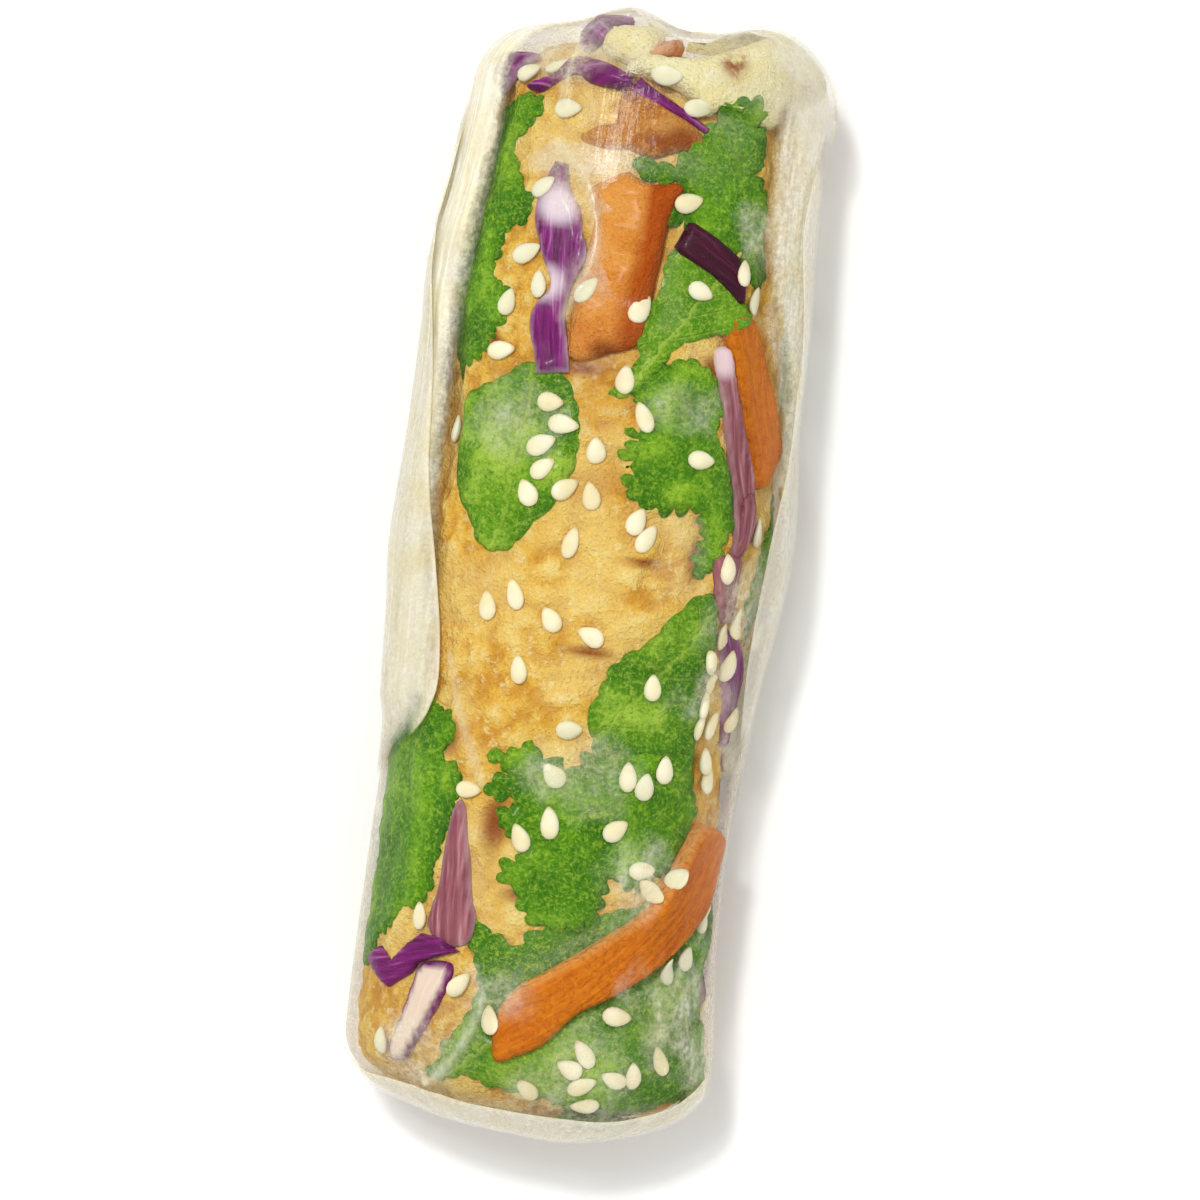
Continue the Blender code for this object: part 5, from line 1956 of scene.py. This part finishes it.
# Sesame seeds seen from above: across, along and how far the tip is turned clockwise, in degrees.
CLEAR_SEEDS = (
    (5.6, 39.2, 68), (11.9, 32.8, 2), (7.9, 30.3, 108), (2.1, 27.7, 28), (-11.6, 21.8, 78),
    (1.5, 20.4, -2), (-5.8, 17.1, 88), (3.9, 16.8, -28), (-4.2, 15.0, 92), (-6.2, 12.7, 62),
    (-0.6, 12.8, -2), (-5.7, 10.3, 48), (-6.9, 7.6, -32), (-3.2, 8.5, 52), (-0.5, 8.1, -12),
    (10.3, 13.2, 88), (-1.9, 3.1, 12), (4.6, 6.1, 22), (5.9, 4.5, 32), (-6.9, -2.9, -18),
    (-9.6, -4.4, -8), (-2.9, -5.0, -38), (1.5, -6.2, -68), (-5.5, -10.5, -8), (14.4, 2.5, -8),
    (17.0, -3.0, -2), (15.5, -4.6, -8), (14.1, -7.2, -42), (15.1, -9.4, 72), (8.4, -10.6, -8),
    (14.2, -11.7, 2), (16.8, -7.5, -8), (18.0, -13.0, 2), (14.0, -13.8, 12), (15.7, -13.8, 22),
    (7.0, -20.0, -8), (10.6, -18.8, -8), (-8.9, -23.4, 88), (-0.3, -25.7, -8), (-3.1, -27.6, -28),
    (6.5, -25.6, 52), (9.7, -29.4, 82), (10.6, -31.3, -58), (13.0, -29.7, 48), (-12.4, -37.0, -8),
    (-7.3, -43.4, 38), (-3.7, -46.5, -12), (9.1, -44.6, 88), (6.3, -48.8, -38), (5.0, -50.4, -68),
    (6.5, -52.0, 62), (9.6, -51.0, -72), (11.5, -50.3, -8), (1.1, -53.1, -42), (7.0, -54.0, -92),
    (14.1, -48.7, -18), (15.9, -19.4, 12), (15.4, -17.5, -18))
VEILED_SEEDS = (
    (-10.3, 32.1, 62), (-9.3, 39.0, 52), (-8.6, 29.0, -8), (-3.6, 28.9, 38), (-11.5, 26.8, 12),
    (13.9, 30.2, 12), (17.4, 35.5, -8), (1.7, 51.4, 82), (5.2, 48.9, 92), (-8.0, 47.4, 82),
    (-9.6, 51.4, 68), (-12.4, 50.6, 52), (0.4, 56.9, 102), (-15.9, 13.3, -8), (18.2, 6.7, 2),
    (-14.6, -13.3, -8), (19.4, -4.1, 12), (-14.6, -50.3, -8), (16.7, -33.7, 2), (15.5, -37.9, 32),
    (13.5, -39.4, -8), (0.6, -16.0, 82), (-0.6, -20.8, -48), (8.8, -20.8, 2))


def seed_places() -> list[tuple[tuple[float, float], float, float]]:
    """Lists every seed: those on top one by one, and a loose scatter on the sides and below.

    Returns:
        Each seed's place on the sheet, its turn in degrees, and how much milky paper dulls it.
    """
    found = [(FORM.unwrap(x, y), turn, 0.0) for x, y, turn in CLEAR_SEEDS]
    found += [(FORM.unwrap(x, y), turn, VEILED) for x, y, turn in VEILED_SEEDS]
    rng = np.random.default_rng(17)
    for k in range(SCATTERED):
        station = SCATTER_END * (2.0 * ((k * GOLDEN) % 1.0) - 1.0) + rng.uniform(-2.0, 2.0)
        around = SCATTER_START + (ROUND - 2.0 * SCATTER_START) * (k + 0.5) / SCATTERED
        around += rng.uniform(-1.5, 1.5)
        around = (around + ROUND / 2) % ROUND - ROUND / 2
        found.append(((around, station), float(rng.uniform(0.0, 180.0)), SCATTER_VEIL))
    return found


# ---- the light and the camera ----------------------------------------------------------------
@dataclass
class Studio:
    """A white floor, soft light from the upper left, and a camera straight above."""

    far: float = 1.0
    view_width: float = 0.12396
    sensor: float = 36.0
    turn: float = math.radians(7.5)
    aim: tuple[float, float] = (1.87, -2.36)
    level: float = 0.022
    floor_size: float = 3.0
    sun_lean: float = math.radians(21.0)
    sun_side: tuple[float, float] = (-0.46, 0.888)
    sun_spread: float = math.radians(5.0)
    sun_strength: float = 1.15
    sky: float = 0.74
    panel_side: tuple[float, float] = (-0.14, 0.22)
    panel_height: float = 1.1
    panel_size: float = 0.16
    panel_power: float = 1.6

    def seen(self, right: float, up: float) -> Vector:
        """A direction on the table from one in the camera's view."""
        c, s = math.cos(self.turn), math.sin(self.turn)
        return Vector((right * c - up * s, right * s + up * c, 0.0))

    def build(self) -> None:
        """Makes the floor, the lights, the world and the camera."""
        scene = bpy.context.scene
        scene.view_settings.view_transform = "Standard"
        mesh = bmesh.new()
        bmesh.ops.create_grid(mesh, x_segments=1, y_segments=1, size=self.floor_size)
        data = bpy.data.meshes.new("tabletop")
        mesh.to_mesh(data)
        mesh.free()
        data.materials.append(Tabletop("white_table", "").material())
        floor = bpy.data.objects.new("tabletop", data)
        scene.collection.objects.link(floor)
        world = bpy.data.worlds.new("studio")
        world.use_nodes = True
        world.node_tree.nodes["Background"].inputs["Color"].default_value = (1.0, 1.0, 1.0, 1.0)
        world.node_tree.nodes["Background"].inputs["Strength"].default_value = self.sky
        scene.world = world
        self.lamps(scene)
        self.camera(scene)

    def lamps(self, scene: bpy.types.Scene) -> None:
        """The sun-like lamp that casts the shadow, and a soft panel beside it.

        Args:
            scene: The scene.
        """
        upright = Vector((0.0, 0.0, math.cos(self.sun_lean)))
        towards = self.seen(*self.sun_side) * math.sin(self.sun_lean) + upright
        sun = bpy.data.objects.new("key", bpy.data.lights.new("key", "SUN"))
        sun.data.energy, sun.data.angle = self.sun_strength, self.sun_spread
        sun.rotation_euler = towards.to_track_quat("Z", "Y").to_euler()
        scene.collection.objects.link(sun)
        panel = bpy.data.objects.new("panel", bpy.data.lights.new("panel", "AREA"))
        panel.data.energy, panel.data.size = self.panel_power, self.panel_size
        place = self.seen(*self.panel_side) + Vector((0.0, 0.0, self.panel_height))
        panel.location = place
        panel.rotation_euler = place.to_track_quat("Z", "Y").to_euler()
        panel.visible_glossy = False
        scene.collection.objects.link(panel)

    def camera(self, scene: bpy.types.Scene) -> None:
        """The camera, straight above the roll.

        Args:
            scene: The scene.
        """
        made = bpy.data.objects.new("camera", bpy.data.cameras.new("camera"))
        made.data.sensor_width = self.sensor
        made.data.lens = self.sensor * self.far / self.view_width
        made.data.clip_end = 10.0
        x, y = ((at - middle) * MM for at, middle in zip(self.aim, CENTRE))
        made.location = (x, y, self.far + self.level)
        made.rotation_euler = (0.0, 0.0, self.turn)
        scene.collection.objects.link(made)
        scene.camera = made


# ---- the roll ------------------------------------------------------------------------------------
def main() -> None:
    """Builds the roll from the inside out, then the studio."""
    logging.basicConfig(level=logging.INFO, format="%(message)s")
    bed = Bed()
    Fillet().build(bed, [*SLABS, *STICKS])
    for piece in (*SLABS, *LOW_LEAVES, *STICKS, *TOP_PIECES, *UNDER_PIECES):
        piece.build(bed)
    wrap = Wrap()
    Seeds().lay(bed, wrap.settle(bed))
    film = wrap.settle(bed)
    wrap.build(bed, film)
    for fold in FOLDS:
        fold.build(bed, film)
    Studio().build()
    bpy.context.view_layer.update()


if __name__ == "__main__":
    main()
